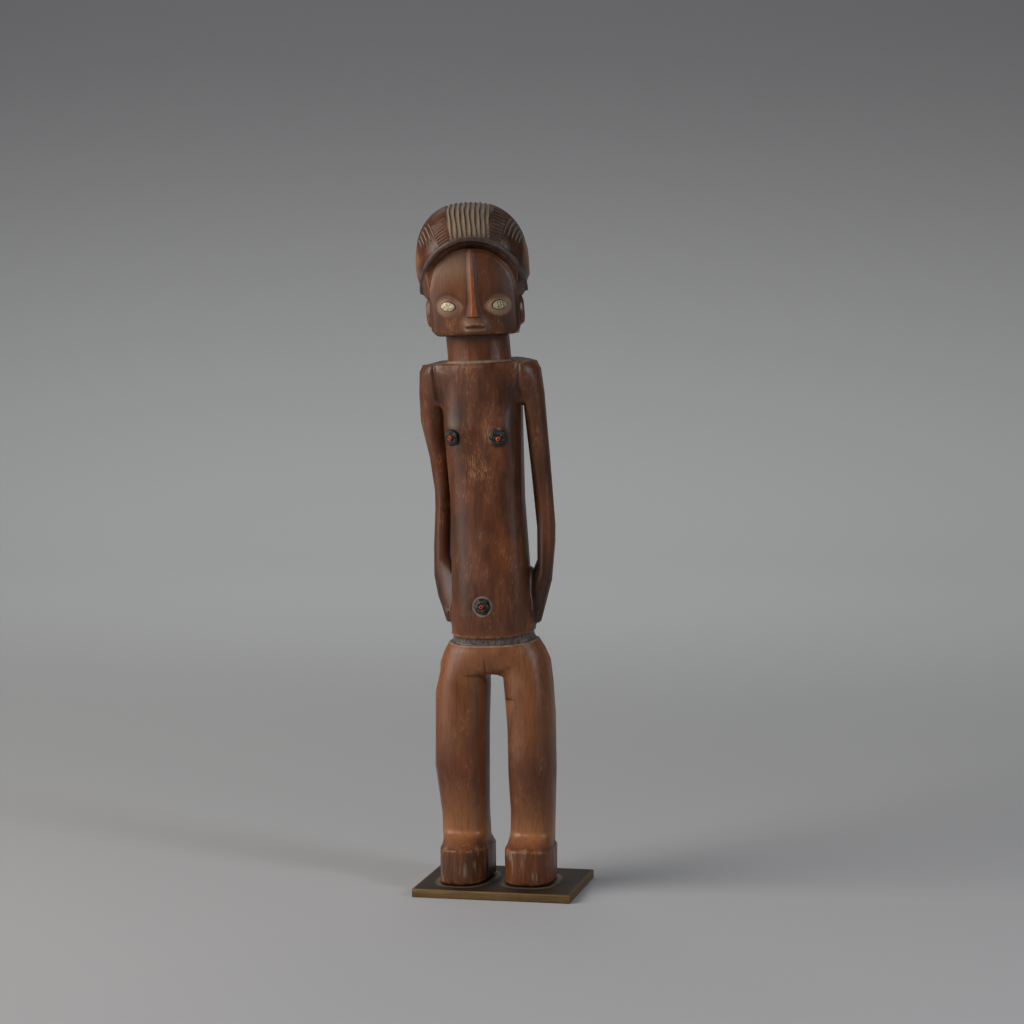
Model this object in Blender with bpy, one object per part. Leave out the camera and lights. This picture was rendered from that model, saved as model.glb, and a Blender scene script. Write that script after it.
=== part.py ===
# Carved wooden standing figure with shell eyes and resin-set beads, on a brass plate.
# Metres, +Z up, the figure faces -Y. The origin is the centre of the plate's underside.
import math

import bmesh
import bpy
from mathutils import Matrix, Vector

for old in list(bpy.data.objects):
    bpy.data.objects.remove(old)

# Driving dimensions
figure_height = 0.395  # soles to the top of the hair
plate_width = 0.093
plate_depth = 0.078
plate_thickness = 0.005
plate_bevel = 0.0006
touch_gap = 0.0003  # clearance between pieces that touch
eye_length = 0.0079  # shell inlays
eye_height = 0.0052
eye_thickness = 0.0020
eye_proud = 0.0005  # how far the shell's crown stands out of its lids
resin_diameter = 0.0086
resin_seat = 0.0016  # depth of the resin's socket in the wood
resin_crown = 0.0009  # height of the resin's dome above the wood
bead_diameter = 0.0031
bead_hole = 0.0011
bead_length = 0.0020
bead_seat = 0.0011  # how much of a bead's length sits in the resin
cutter_reach = 0.004  # sockets are cut from this far outside the wood

# The figure's proportions and pose are in thousandths of its height, measured up
# from the soles and out from its middle line. It is modelled upright, then posed.
unit = figure_height / 1000
sole_level = plate_thickness + touch_gap

# Pose: the trunk leans to the viewer's left and rolls with it, the head turns a little
foot_shift = -6.6
lean_reach = 48.5
lean_curve = 1.7
lean_measure = 1015
body_roll = math.radians(2.5)
head_turn = math.radians(10)

# Sections: height, half width, front depth, back depth, squareness
hip_sections = [
    (308, 80, 35, 41, 2.5), (317, 84, 43, 49, 2.6), (326, 81.5, 46, 53, 2.7),
    (341, 76, 46, 51, 2.7), (355, 68.5, 45, 46, 2.7), (357, 67.5, 45, 45, 2.7),
]
belly_sections = [
    (372, 62, 48, 43, 2.8), (390, 61, 52, 43, 3.0), (414, 59, 52, 42, 3.1),
    (450, 57, 49, 42, 3.2), (490, 56, 45, 41, 3.3), (564, 54.5, 41, 41, 3.3),
    (637, 56.5, 41, 42, 3.2), (711, 58, 41, 43, 3.2), (757, 58, 40.5, 43, 3.2),
    (765, 55, 38, 41, 3.2),
]
yoke_sections = [
    (703, 86, 18, 22, 2.4), (711, 90, 26, 30, 2.5), (726, 91.5, 34, 37, 2.7),
    (741, 91, 39, 43, 2.8), (757, 88.5, 39.5, 44, 3.0), (765, 84, 37, 42, 3.0),
]
shoulder_slope = 7  # the shoulders' top rises towards the back
neck_sections = [(745, 47, 38, 48, 2.3), (768, 46.8, 38.5, 48, 2.3), (822, 46.5, 39.5, 48, 2.3)]
skull_sections = [
    (806, 61, 40, 52, 3.4), (811, 64, 44, 56, 3.4), (835, 66, 46, 62, 3.2),
    (860, 67, 48, 68, 3.0), (900, 66, 50, 70, 2.8), (935, 55, 46, 62, 2.6),
]
belt_low = 357.5
belt_high = 370.5
belt_recess = 2.4
belt_dip = 7  # the belt hangs lower in front

# Arms: height, centre across, centre in depth, half width, half depth
left_arm = [
    (752, 74, 2, 13, 20), (735, 75, 2, 16.5, 21), (711, 77.5, 2, 17, 20),
    (680, 77.5, 4, 17, 19), (650, 74.5, 8, 15.5, 18), (610, 71, 14, 14, 17.5),
    (564, 70, 18, 13, 17.5), (533, 73, 16, 13, 17), (495, 75.5, 16, 13.5, 15.5),
    (460, 76.5, 12, 13, 14.5), (430, 73, 8, 11.5, 15), (405, 68, 4, 9.5, 17),
    (385, 63.5, 4, 7, 15),
]
right_arm = [
    (752, 74, 2, 13, 20), (735, 76, 2, 16, 21), (711, 77.5, 2, 16.5, 20),
    (680, 78, 4, 16, 19), (650, 78.5, 7, 15.5, 18), (610, 80, 11, 14.8, 17.5),
    (564, 81.5, 14, 14.5, 17.5), (533, 83.5, 12, 14, 17), (495, 83, 8, 13, 15.5),
    (460, 80, 5, 12.5, 14.5), (430, 74.5, 4, 12, 15.5), (405, 67, 4, 10.5, 17),
    (380, 62, 4, 8, 15),
]

# Below this height each forearm stays joined to the body by a recessed web
web_top = 462
web_bottom = 384
web_depth = 7
web_bite = 8  # how far the web runs into the body

# Legs: height, centre across, half width, front depth, back depth, squareness
left_leg = [
    (322, 44, 36, 40, 47, 2.2), (300, 48.5, 38.5, 44, 49, 2.4), (267, 50.6, 40, 43, 47, 2.8),
    (237, 51.8, 39.3, 44, 44, 2.8), (207, 52.5, 39.2, 47, 40, 2.8), (180, 53, 39.3, 50, 37, 2.8),
    (150, 52.2, 37.7, 45, 39, 2.8), (117, 51.5, 35.2, 37, 43, 2.8), (90, 50.5, 34, 33, 42, 2.8),
    (66, 50, 34.8, 33, 42, 2.8),
]
right_leg = [
    (322, 45, 34.5, 40, 47, 2.2), (300, 49, 35.6, 44, 49, 2.4), (267, 50.6, 35, 43, 47, 2.8),
    (237, 51.8, 34.6, 44, 44, 2.8), (207, 52, 34, 47, 40, 2.8), (180, 52.5, 34.8, 50, 37, 2.8),
    (150, 52, 34, 45, 39, 2.8), (117, 51.5, 31.8, 37, 43, 2.8), (90, 51, 31.8, 33, 42, 2.8),
    (66, 50, 32.6, 33, 42, 2.8),
]

# Feet: centre across, half width, front and back depth, squareness in front, turn outwards
left_foot = (-47.5, 35.2, 70, 58, 2.7, math.radians(3))
right_foot = (47.5, 36.5, 58.5, 54, 3.0, math.radians(3))
foot_round = 4
foot_wall = 54
foot_edge = 3  # the bevel between the front wall and the instep
heel_squareness = 3.4
instep_top = 72

# Breasts and navel: across and up from the middle line
midline = -5
breast_spread = 35
breast_height = 657
breast_drop = 3  # the viewer's right one sits lower
breast_radius = 31
breast_rise = 7
navel_height = 411
navel_rise = 2

# Head
cap_centre = 905
cap_half_width = 83.5
cap_front = 86
cap_back = 90
cap_up = 95
cap_down = 80
cap_squareness = 2.35
arch_centre = 868  # of the hairline's arch and of the face's outline
rim_arch = 76.5
rim_thickness = 4.3
rim_start = -4  # degrees round the arch from the viewer's right
rim_end = 184
cap_bottom = 861  # the cap's lower edge, which dips towards the nape
cap_bottom_slope = math.radians(-7)
face_half_width = 64.5
face_front = 70
face_side_fall = 13  # how far the face falls back at its sides, brow and chin
face_brow_fall = 9
face_chin_fall = 3
face_corner = 9
groove_back = 57
jaw_bottom = 806
hair_line_depth = 2.6
fine_line_depth = 1.4
band_edge = 17.5  # degrees from the middle: centre band, plain-lined panel, outer band
panel_edge = 35
outer_edge = 59
centre_ridges = 8
outer_ridges = 4
fine_lines = 10
panel_low = 25  # the fine lines run between these degrees over the top
panel_high = 68.5
panel_top_left = 50
panel_top_right = 78
hair_start = 18
hair_end = 185
hair_wave = 0.9

# Face: features by eye, as shares of the head's height
head_height = 1000 - jaw_bottom
eye_level = jaw_bottom + 0.22 * head_height
eye_spread = 0.19 * head_height
nose_tip = jaw_bottom + 0.135 * head_height
nose_root = jaw_bottom + 0.6 * head_height
mouth_level = jaw_bottom + 0.075 * head_height
mouth_half_width = 0.068 * head_height
eye_tilt = math.radians(6)
ear_level = jaw_bottom + 0.175 * head_height
ear_half_height = 0.11 * head_height
ear_half_width = 0.055 * head_height
ear_depth = -24  # the ears' middle stands in front of the head's axis
lid_rise = 4.6  # the eyes' lids stand this far out of the face
lid_width = 8


def make_material(name, color, roughness, metallic=0.0):
    material = bpy.data.materials.new(name)
    material.use_nodes = True
    shader = material.node_tree.nodes["Principled BSDF"]
    shader.inputs["Base Color"].default_value = (*color, 1)
    shader.inputs["Roughness"].default_value = roughness
    shader.inputs["Metallic"].default_value = metallic
    return material


def add_object(name, solid, material=None):
    # Turns a bmesh into an object with outward faces.
    bmesh.ops.recalc_face_normals(solid, faces=solid.faces)
    mesh = bpy.data.meshes.new(name)
    solid.to_mesh(mesh)
    solid.free()
    item = bpy.data.objects.new(name, mesh)
    bpy.context.scene.collection.objects.link(item)
    if material:
        mesh.materials.append(material)
    return item


def section_at(stations, height):
    # Values of a section at a height, on a smooth curve through the stations.
    rows = sorted(stations)
    height = min(max(height, rows[0][0]), rows[-1][0])
    last = len(rows) - 1
    low = max(index for index in range(last) if rows[index][0] <= height)
    span = rows[low + 1][0] - rows[low][0]
    step = (height - rows[low][0]) / span

    def slope(index, column):
        before = rows[max(index - 1, 0)]
        after = rows[min(index + 1, last)]
        return (after[column] - before[column]) / (after[0] - before[0]) * span

    values = []
    for column in range(1, len(rows[0])):
        start, end = rows[low][column], rows[low + 1][column]
        rise_start, rise_end = slope(low, column), slope(low + 1, column)
        values.append(
            start * (1 + 2 * step) * (1 - step) ** 2 + end * step ** 2 * (3 - 2 * step)
            + rise_start * step * (1 - step) ** 2 - rise_end * step ** 2 * (1 - step)
        )
    return values


def signed_power(value, power):
    return math.copysign(abs(value) ** power, value)


def ring(height, half_width, front, back, squareness, sides, centre=(0, 0), front_squareness=None):
    # A closed section: half width, front and back depth, with squared-off corners.
    points = []
    for index in range(sides):
        angle = 2 * math.pi * (index + 0.5) / sides
        across, along = math.cos(angle), math.sin(angle)
        power = 2 / (front_squareness or squareness) if along < 0 else 2 / squareness
        depth = back if along > 0 else front
        points.append(Vector((
            centre[0] + half_width * signed_power(across, power),
            centre[1] + depth * signed_power(along, power),
            height,
        )))
    return points


def loft(rings):
    # A closed solid through rings of equal point counts, flat at both ends.
    solid = bmesh.new()
    rows = [[solid.verts.new(point) for point in points] for points in rings]
    for low, high in zip(rows, rows[1:]):
        for index in range(len(low)):
            after = (index + 1) % len(low)
            solid.faces.new((low[index], low[after], high[after], high[index]))
    solid.faces.new(list(reversed(rows[0])))
    solid.faces.new(rows[-1])
    return solid


def revolve(profile, sides):
    # Turns (radius, height) points round Z; a radius of zero closes on the axis.
    solid = bmesh.new()
    rows = []
    for radius, height in profile:
        if radius == 0:
            rows.append([solid.verts.new((0, 0, height))] * sides)
            continue
        angles = [2 * math.pi * index / sides for index in range(sides)]
        rows.append([
            solid.verts.new((radius * math.cos(angle), radius * math.sin(angle), height))
            for angle in angles
        ])
    pairs = list(zip(rows, rows[1:]))
    if profile[0][0] > 0:
        pairs.append((rows[-1], rows[0]))
    for low, high in pairs:
        for index in range(sides):
            after = (index + 1) % sides
            corners = [low[index], low[after], high[after], high[index]]
            solid.faces.new(list(dict.fromkeys(corners)))
    return solid


def levels(low, high, count):
    return [low + (high - low) * index / (count - 1) for index in range(count)]


def scaled(solid):
    # From thousandths of the figure's height to metres.
    bmesh.ops.scale(solid, vec=(unit, unit, unit), verts=solid.verts)
    return solid


def smooth_step(low, high, value):
    share = min(max((value - low) / (high - low), 0), 1)
    return share * share * (3 - 2 * share)


def pose_point(point):
    # From the upright figure to the leaning one on the plate.
    height = point.z / unit
    turn = head_turn * smooth_step(775, 806, height)
    across = point.x * math.cos(turn) - point.y * math.sin(turn)
    along = point.x * math.sin(turn) + point.y * math.cos(turn)
    roll = body_roll * smooth_step(75, 330, height)
    lean = foot_shift - lean_reach * (max(height, 0) / lean_measure) ** lean_curve
    return Vector((
        lean * unit + across * math.cos(roll), along, sole_level + point.z + across * math.sin(roll)
    ))


def pose(item):
    for vertex in item.data.vertices:
        vertex.co = pose_point(vertex.co)
    item.data.update()


# Trunk
def belt_hang(height):
    # How far the waist's rings hang down in front, fading above and below the belt.
    return belt_dip * smooth_step(325, belt_low, height) * (1 - smooth_step(belt_high, 430, height))


def swelling(across, height):
    # Rise of the breasts and of the navel above the plain front of the trunk.
    rise = 0
    for side in (-1, 1):
        offset = math.hypot(
            across - midline - side * breast_spread, height - breast_height - 6 + side * breast_drop / 2
        )
        rise += breast_rise * (1 - smooth_step(0, breast_radius, offset))
    offset = math.hypot(across - midline, height - navel_height)
    return rise + navel_rise * (1 - smooth_step(4, 26, offset))


def trunk_ring(sections, height, shrink=0):
    half_width, front, back, squareness = section_at(sections, height)
    points = ring(height, half_width - shrink, front - shrink, back - shrink, squareness, 26)
    for point in points:
        if point.y < 0:
            facing = (point.y / front) ** 2
            point.y -= swelling(point.x, height) * facing
            point.z -= belt_hang(height) * facing
    return points


def make_trunk():
    rings = [trunk_ring(hip_sections, height) for height in levels(308, belt_low - 1.5, 6)]
    rings.append(trunk_ring(hip_sections, belt_low, belt_recess))
    rings.append(trunk_ring(belly_sections, belt_high, belt_recess))
    plain = levels(belt_high + 1.5, 605, 9) + levels(624, 700, 7) + levels(725, 757, 2) + [765]
    rings += [trunk_ring(belly_sections, height) for height in plain]
    return scaled(loft(rings))


def make_yoke():
    rings = []
    for height in levels(703, 765, 7):
        half_width, front, back, squareness = section_at(yoke_sections, height)
        points = ring(height, half_width, front, back, squareness, 20)
        for point in points:
            rise = smooth_step(-front, back, point.y) * (1 - smooth_step(55, 88, abs(point.x)))
            point.z += shoulder_slope * rise * smooth_step(735, 765, height)
        rings.append(points)
    return scaled(loft(rings))


def make_neck():
    rings = []
    for height in levels(745, 822, 4):
        half_width, front, back, squareness = section_at(neck_sections, height)
        rings.append(ring(height, half_width, front, back, squareness, 20))
    return scaled(loft(rings))


def make_arm(stations, side):
    rings = []
    for height in levels(stations[-1][0], stations[0][0], 12):
        across, along, half_width, half_depth = section_at(stations, height)
        centre = (side * across, along)
        rings.append(ring(height, half_width, half_depth, half_depth, 2.4, 12, centre))
    return scaled(loft(rings))


def make_web(stations, side):
    # Uncut wood between a forearm and the body.
    rings = []
    for height in levels(web_bottom, web_top, 5):
        across, along, half_width, half_depth = section_at(stations, height)
        inner = section_at(belly_sections, height)[0] - web_bite
        centre, reach = (across + inner) / 2, (across - inner) / 2
        rings.append(ring(height, reach, web_depth, web_depth, 4, 8, (side * centre, along)))
    return scaled(loft(rings))


def make_leg(stations, side):
    rings = []
    for height in levels(stations[-1][0], stations[0][0], 11):
        across, half_width, front, back, squareness = section_at(stations, height)
        rings.append(ring(height, half_width, front, back, squareness, 18, (side * across, 0)))
    return scaled(loft(rings))


def make_foot(shape, leg):
    # A block with a rounded front, an upright front wall and a sloping instep.
    across, half_width, front, back, squareness, turn = shape
    side = math.copysign(1, across)
    ankle_across, ankle_width, ankle_front, ankle_back, ankle_squareness = section_at(leg, instep_top)
    rows = [(0, -foot_round), (foot_round, 0), (foot_wall - foot_edge, 0), (foot_wall, -foot_edge)]
    rings = []
    for height, grow in rows:
        rings.append(ring(
            height, half_width + grow, front + grow, back + grow, heel_squareness, 22,
            (across, 0), squareness
        ))
    rings.append(ring(
        instep_top, ankle_width - 1, ankle_front - 1, ankle_back - 1, ankle_squareness, 22,
        (side * ankle_across, 0)
    ))
    centre = Vector((across, 0))
    outwards = Matrix.Rotation(side * turn, 2)
    for points in rings[:len(rows)]:
        for point in points:
            point.xy = outwards @ (point.xy - centre) + centre
    return scaled(loft(rings))


# Head
def cap_radius(direction):
    # Distance from the cap's centre to its surface.
    along = cap_back if direction.y > 0 else cap_front
    up = cap_up if direction.z > 0 else cap_down
    total = abs(direction.x / cap_half_width) ** cap_squareness
    total += abs(direction.y / along) ** cap_squareness
    total += abs(direction.z / up) ** cap_squareness
    return total ** (-1 / cap_squareness)


def hair_columns():
    # Degrees across the cap, each with the depth of the hair line cut there.
    centre_step = band_edge / centre_ridges
    centre = [
        (-band_edge + centre_step * index, 1 - index % 2)
        for index in range(2 * centre_ridges + 1)
    ]
    outer_step = (outer_edge - panel_edge) / (2 * outer_ridges)
    outer = [
        (panel_edge + outer_step * index, 1 - index % 2) for index in range(2 * outer_ridges + 1)
    ]
    plain = [(band_edge + panel_edge) / 2, (outer_edge + 90) / 2, 87]
    half = [(plain[0], 0)] + outer + [(angle, 0) for angle in plain[1:]]
    return [(-angle, cut) for angle, cut in reversed(half)] + centre + half


def hair_rows():
    # Degrees from the front over the top, each with the depth of the fine line cut there.
    low, high = math.sin(math.radians(panel_low)), math.sin(math.radians(panel_high))
    fine = [
        (math.degrees(math.asin(rise)), index % 2)
        for index, rise in enumerate(levels(low, high, 2 * fine_lines + 1))
    ]
    over_top = [(angle, 0) for angle in (81, 98, 118, 146, 184)]
    below = [(angle, 0) for angle in (206, 245, 290, 335, 372)]
    return fine + over_top + below


def cut_depth(across, over, band_cut, line_cut):
    # Depth of the carving at a place on the cap.
    if not hair_start < over < hair_end:
        return 0
    slack = 0.1
    centre = abs(across) <= band_edge + slack
    outer = panel_edge - slack <= abs(across) <= outer_edge + slack
    if centre or outer:
        return hair_line_depth * band_cut
    top = panel_top_right if across > 0 else panel_top_left
    if abs(across) < panel_edge and over < top:
        return fine_line_depth * line_cut
    return 0


def make_cap():
    rings = []
    rows = hair_rows()
    for across, band_cut in hair_columns():
        points = []
        for over, line_cut in rows:
            bend = hair_wave * math.sin(math.radians(over * 9)) if abs(across) < band_edge - 1 else 0
            side, rise = math.radians(across + bend), math.radians(over)
            direction = Vector((
                math.sin(side), -math.cos(side) * math.cos(rise), math.cos(side) * math.sin(rise)
            ))
            reach = cap_radius(direction) - cut_depth(across, over, band_cut, line_cut)
            points.append(direction * reach + Vector((0, 0, cap_centre)))
        rings.append(points)
    return scaled(loft(rings))


def arch_ring(radius, bottom, along, corner=0.0):
    # Outline of the face in front view: a round arch over straight sides.
    points = []
    for index in range(17):
        angle = math.pi * index / 16
        points.append((radius * math.cos(angle), arch_centre + radius * math.sin(angle)))
    points += [(-radius, (arch_centre + bottom) / 2), (-radius, bottom + corner)]
    points += [(-radius + corner, bottom), (0, bottom), (radius - corner, bottom)]
    points += [(radius, bottom + corner), (radius, (arch_centre + bottom) / 2)]
    return [Vector((across, along, height)) for across, height in points]


def make_face_opening():
    # Cuts the cap away inside the rim, down past the jaw and back to the groove's floor.
    inside, below = rim_arch - rim_thickness + 1, jaw_bottom - rim_arch
    ends = (-2 * cap_front, -groove_back)
    return scaled(loft([arch_ring(inside, below, along, 2) for along in ends]))


def make_cap_underside():
    # Cuts the cap level under the sides and lower at the nape.
    solid = bmesh.new()
    bmesh.ops.create_cube(solid, size=4 * cap_back)
    bmesh.ops.translate(solid, vec=(0, 0, -2 * cap_back), verts=solid.verts)
    tilt = Matrix.Rotation(cap_bottom_slope, 4, "X")
    place = Matrix.Translation((0, -20, cap_bottom))
    bmesh.ops.transform(solid, matrix=place @ tilt, verts=solid.verts)
    return scaled(solid)


def make_rim():
    # Rolled edge of the hair along the arch, lying on the cap's surface.
    rings = []
    for degrees in levels(rim_start, rim_end, 19):
        angle = math.radians(degrees)
        across, up = rim_arch * math.cos(angle), rim_arch * math.sin(angle)
        height = arch_centre + up - cap_centre
        limit = cap_up if height > 0 else cap_down
        left = 1 - abs(across / cap_half_width) ** cap_squareness
        left -= abs(height / limit) ** cap_squareness
        along = -cap_front * max(left, 0.01) ** (1 / cap_squareness) + 1.5
        outward = Vector((math.cos(angle), 0, math.sin(angle)))
        centre = Vector((across, along, arch_centre + up))
        points = []
        for corner in range(6):
            spin = 2 * math.pi * (corner + 0.5) / 6
            offset = outward * math.cos(spin) + Vector((0, -1, 0)) * math.sin(spin)
            points.append(centre + offset * rim_thickness)
        rings.append(points)
    return scaled(loft(rings))


def make_skull():
    rings = []
    for height in levels(806, 935, 7):
        half_width, front, back, squareness = section_at(skull_sections, height)
        rings.append(ring(height, half_width, front, back, squareness, 20))
    return scaled(loft(rings))


def face_depth(across, height):
    # How far forward the face's surface stands.
    side = abs(across) / face_half_width
    rise = (height - arch_centre) / face_half_width
    fall = face_brow_fall if rise > 0 else face_chin_fall
    return face_front - face_side_fall * side ** 2.4 - fall * rise ** 2


def make_face():
    # The face as a raised tablet, domed across and up, with a rounded edge.
    rings = [arch_ring(face_half_width, jaw_bottom, -20, face_corner)]
    for inset, sink in ((0, 4.5), (1.2, 1.5), (4, 0), (16, 0), (32, 0), (50, 0)):
        share = 1 - inset / face_half_width
        points = arch_ring(face_half_width, jaw_bottom, 0, face_corner)
        middle = (arch_centre + face_half_width + jaw_bottom) / 2
        for point in points:
            point.x *= share
            point.z = middle + (point.z - middle) * share
            point.y = -(face_depth(point.x, point.z) - sink)
        rings.append(points)
    return scaled(loft(rings))


def make_nose():
    # A long narrow ridge from the hairline down to a blunt tip.
    rows = [(nose_root, 5, 1), (nose_root - 14, 6, 4), (nose_root - 40, 6, 6),
            (nose_tip + 16, 6.5, 8.5), (nose_tip + 5, 9.5, 11), (nose_tip, 9, 10)]
    rings = []
    for height, half_width, rise in rows:
        base = -(face_depth(0, height) - 6)
        top = -(face_depth(0, height) + rise)
        profile = [(-half_width, base), (-half_width, base - 5), (-half_width * 0.45, top + 0.8),
                   (0, top), (half_width * 0.45, top + 0.8), (half_width, base - 5),
                   (half_width, base)]
        rings.append([Vector((across, along, height)) for across, along in profile])
    return scaled(loft(rings))


def make_mouth():
    # A low block with full, parted lips.
    rows = [(mouth_level - 8, 0.6, 1), (mouth_level - 5, 0.95, 5), (mouth_level - 1.2, 1, 6.5),
            (mouth_level, 0.9, 3.4), (mouth_level + 1.2, 1, 6.8), (mouth_level + 5.5, 0.9, 5.2),
            (mouth_level + 10, 0.6, 1.5)]
    rings = []
    for height, width, rise in rows:
        points = []
        for across in (-1, -0.75, -0.4, 0, 0.4, 0.75, 1):
            arc = math.sqrt(max(1 - across ** 2, 0)) * 0.75 + 0.25 * (abs(across) < 1)
            place = across * width * mouth_half_width
            points.append(Vector((place, -(face_depth(place, height) + rise * arc), height)))
        points.append(Vector((mouth_half_width * width, -face_front + 10, height)))
        points.append(Vector((-mouth_half_width * width, -face_front + 10, height)))
        rings.append(points)
    return scaled(loft(rings))


def make_ear(side):
    rings = []
    for across, grow in ((58, 0.9), (67, 1), (70.5, 0.85), (71.5, 0.5)):
        points = []
        for index in range(12):
            angle = 2 * math.pi * index / 12
            along = ear_depth + ear_half_width * grow * math.cos(angle)
            height = ear_level + ear_half_height * grow * math.sin(angle)
            points.append(Vector((side * across, along, height)))
        rings.append(points)
    return scaled(loft(rings))


def eye_frame(side):
    # Place and direction of an eye: its origin is on the face, +Z looks out.
    across = side * eye_spread
    front = face_depth(across, eye_level)
    slant = (face_depth(across + 1, eye_level) - face_depth(across - 1, eye_level)) / 2
    out = Vector((-slant, -1, -0.05)).normalized()
    wide = Vector((math.cos(eye_tilt), 0, side * math.sin(eye_tilt)))
    wide = (wide - out * wide.dot(out)).normalized()
    turn = Matrix((wide, out.cross(wide), out)).transposed().to_4x4()
    return Matrix.Translation(Vector((across, -front, eye_level)) * unit) @ turn


def oval(profile, half_length, half_height, sides):
    # Rings of an oval: each profile row grows the outline and sets a height.
    rings = []
    for grow, height in profile:
        rings.append([
            Vector((
                (half_length + grow) * math.cos(2 * math.pi * index / sides),
                (half_height + grow) * math.sin(2 * math.pi * index / sides),
                height,
            ))
            for index in range(sides)
        ])
    return loft(rings)


def make_lids(side):
    width, rise = lid_width * unit, lid_rise * unit
    profile = [
        (width, -1.3 * rise), (width, 0.17 * rise), (0.6 * width, 0.72 * rise),
        (0.15 * width, rise), (-0.08 * width, 0.96 * rise),
    ]
    solid = oval(profile, eye_length / 2, eye_height / 2, 16)
    bmesh.ops.transform(solid, matrix=eye_frame(side), verts=solid.verts)
    return solid


def make_eye(side, grow=0.0):
    # The shell inlay, or its socket when grown by the clearance.
    crown = lid_rise * unit + eye_proud
    floor = crown - eye_thickness
    edge = eye_thickness / 5
    if grow:
        profile = [(grow, floor - grow), (grow, crown + cutter_reach)]
    else:
        profile = [
            (-edge / 2, floor), (0, floor + edge / 2), (0, crown - 2 * edge),
            (-edge, crown - 0.8 * edge), (-2.6 * edge, crown),
        ]
    solid = oval(profile, eye_length / 2, eye_height / 2, 14)
    bmesh.ops.transform(solid, matrix=eye_frame(side), verts=solid.verts)
    return solid


# Resin seats and beads
def front_of_trunk(across, height):
    half_width, front, back, squareness = section_at(belly_sections, height)
    share = max(1 - abs(across / half_width) ** squareness, 0) ** (1 / squareness)
    return -front * share - swelling(across, height) * share ** 2


def seat_frame(across, height):
    # Place on the trunk's front, with +Z pointing straight out of the surface.
    step = 4
    slant = front_of_trunk(across + step, height) - front_of_trunk(across - step, height)
    climb = front_of_trunk(across, height + step) - front_of_trunk(across, height - step)
    out = Vector((slant, -2 * step, climb)).normalized()
    wide = (Vector((1, 0, 0)) - out * out.x).normalized()
    turn = Matrix((wide, out.cross(wide), out)).transposed().to_4x4()
    place = Vector((across, front_of_trunk(across, height), height))
    return Matrix.Translation(place * unit) @ turn


def seat_frames():
    return {
        "breast_left": seat_frame(midline - breast_spread, breast_height + breast_drop / 2),
        "breast_right": seat_frame(midline + breast_spread, breast_height - breast_drop / 2),
        "navel": seat_frame(midline, navel_height),
    }


def make_resin_socket(frame):
    radius = resin_diameter / 2 + touch_gap
    low, high = -resin_seat - touch_gap, cutter_reach
    solid = revolve([(0, low), (radius, low), (radius, high), (0, high)], 14)
    bmesh.ops.transform(solid, matrix=frame, verts=solid.verts)
    return solid


def make_resin(frame):
    # A domed disc with a pit that holds the bead.
    radius = resin_diameter / 2
    pit = bead_diameter / 2 + touch_gap
    pit_floor = resin_crown - bead_seat - touch_gap
    profile = [
        (0, -resin_seat), (radius, -resin_seat), (radius, 0),
        (radius * 0.88, resin_crown * 0.55), (max(radius * 0.66, pit * 1.15), resin_crown * 0.92),
        (pit, resin_crown), (pit, pit_floor), (0, pit_floor),
    ]
    solid = revolve(profile, 14)
    bmesh.ops.transform(solid, matrix=frame, verts=solid.verts)
    return solid


def make_bead(frame):
    # A short tube with rounded ends, hole outwards.
    radius, hole = bead_diameter / 2, bead_hole / 2
    low = resin_crown - bead_seat
    high = low + bead_length
    edge = 0.35 * (radius - hole)
    profile = [
        (hole, low), (radius - edge, low), (radius, low + edge), (radius, high - edge),
        (radius - edge, high), (hole + edge / 2, high), (hole, high - edge / 2),
    ]
    solid = revolve(profile, 10)
    bmesh.ops.transform(solid, matrix=frame, verts=solid.verts)
    return solid


def combine(target, solids, operation):
    # Joins solids to the target, or cuts them from it, and keeps the plain mesh.
    group = bpy.data.collections.new(operation)
    bpy.context.scene.collection.children.link(group)
    for index, solid in enumerate(solids):
        item = add_object(f"{operation.lower()}_{index}", solid)
        bpy.context.scene.collection.objects.unlink(item)
        group.objects.link(item)
    boolean = target.modifiers.new("Boolean", "BOOLEAN")
    boolean.operation = operation
    boolean.operand_type = "COLLECTION"
    boolean.collection = group
    boolean.solver = "EXACT"
    result = target.evaluated_get(bpy.context.evaluated_depsgraph_get())
    mesh = bpy.data.meshes.new_from_object(result)
    target.modifiers.clear()
    target.data = mesh
    for item in list(group.objects):
        bpy.data.objects.remove(item)
    bpy.data.collections.remove(group)


def build_figure(material):
    cap = add_object("cap", make_cap())
    combine(cap, [make_face_opening(), make_cap_underside()], "DIFFERENCE")
    cap_solid = bmesh.new()
    cap_solid.from_mesh(cap.data)
    bpy.data.objects.remove(cap)

    frames = seat_frames()
    figure = add_object("figure", make_trunk(), material)
    parts = [
        make_yoke(), make_neck(), make_skull(), make_face(), cap_solid, make_rim(), make_nose(),
        make_mouth(), make_ear(-1), make_ear(1), make_lids(-1), make_lids(1),
        make_arm(left_arm, -1), make_arm(right_arm, 1), make_web(left_arm, -1),
        make_web(right_arm, 1), make_leg(left_leg, -1), make_leg(right_leg, 1),
        make_foot(left_foot, left_leg), make_foot(right_foot, right_leg),
    ]
    combine(figure, parts, "UNION")
    sockets = [make_resin_socket(frame) for frame in frames.values()]
    sockets += [make_eye(-1, touch_gap), make_eye(1, touch_gap)]
    combine(figure, sockets, "DIFFERENCE")
    pose(figure)
    figure.data.shade_smooth()
    figure.data.set_sharp_from_angle(angle=math.radians(35))


def build_inlays(shell, resin, glass):
    for name, side in (("left", -1), ("right", 1)):
        pose(add_object(f"eye_inlay_{name}", make_eye(side), shell))
    for name, frame in seat_frames().items():
        pose(add_object(f"resin_{name}", make_resin(frame), resin))
        pose(add_object(f"bead_{name}", make_bead(frame), glass))


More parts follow.
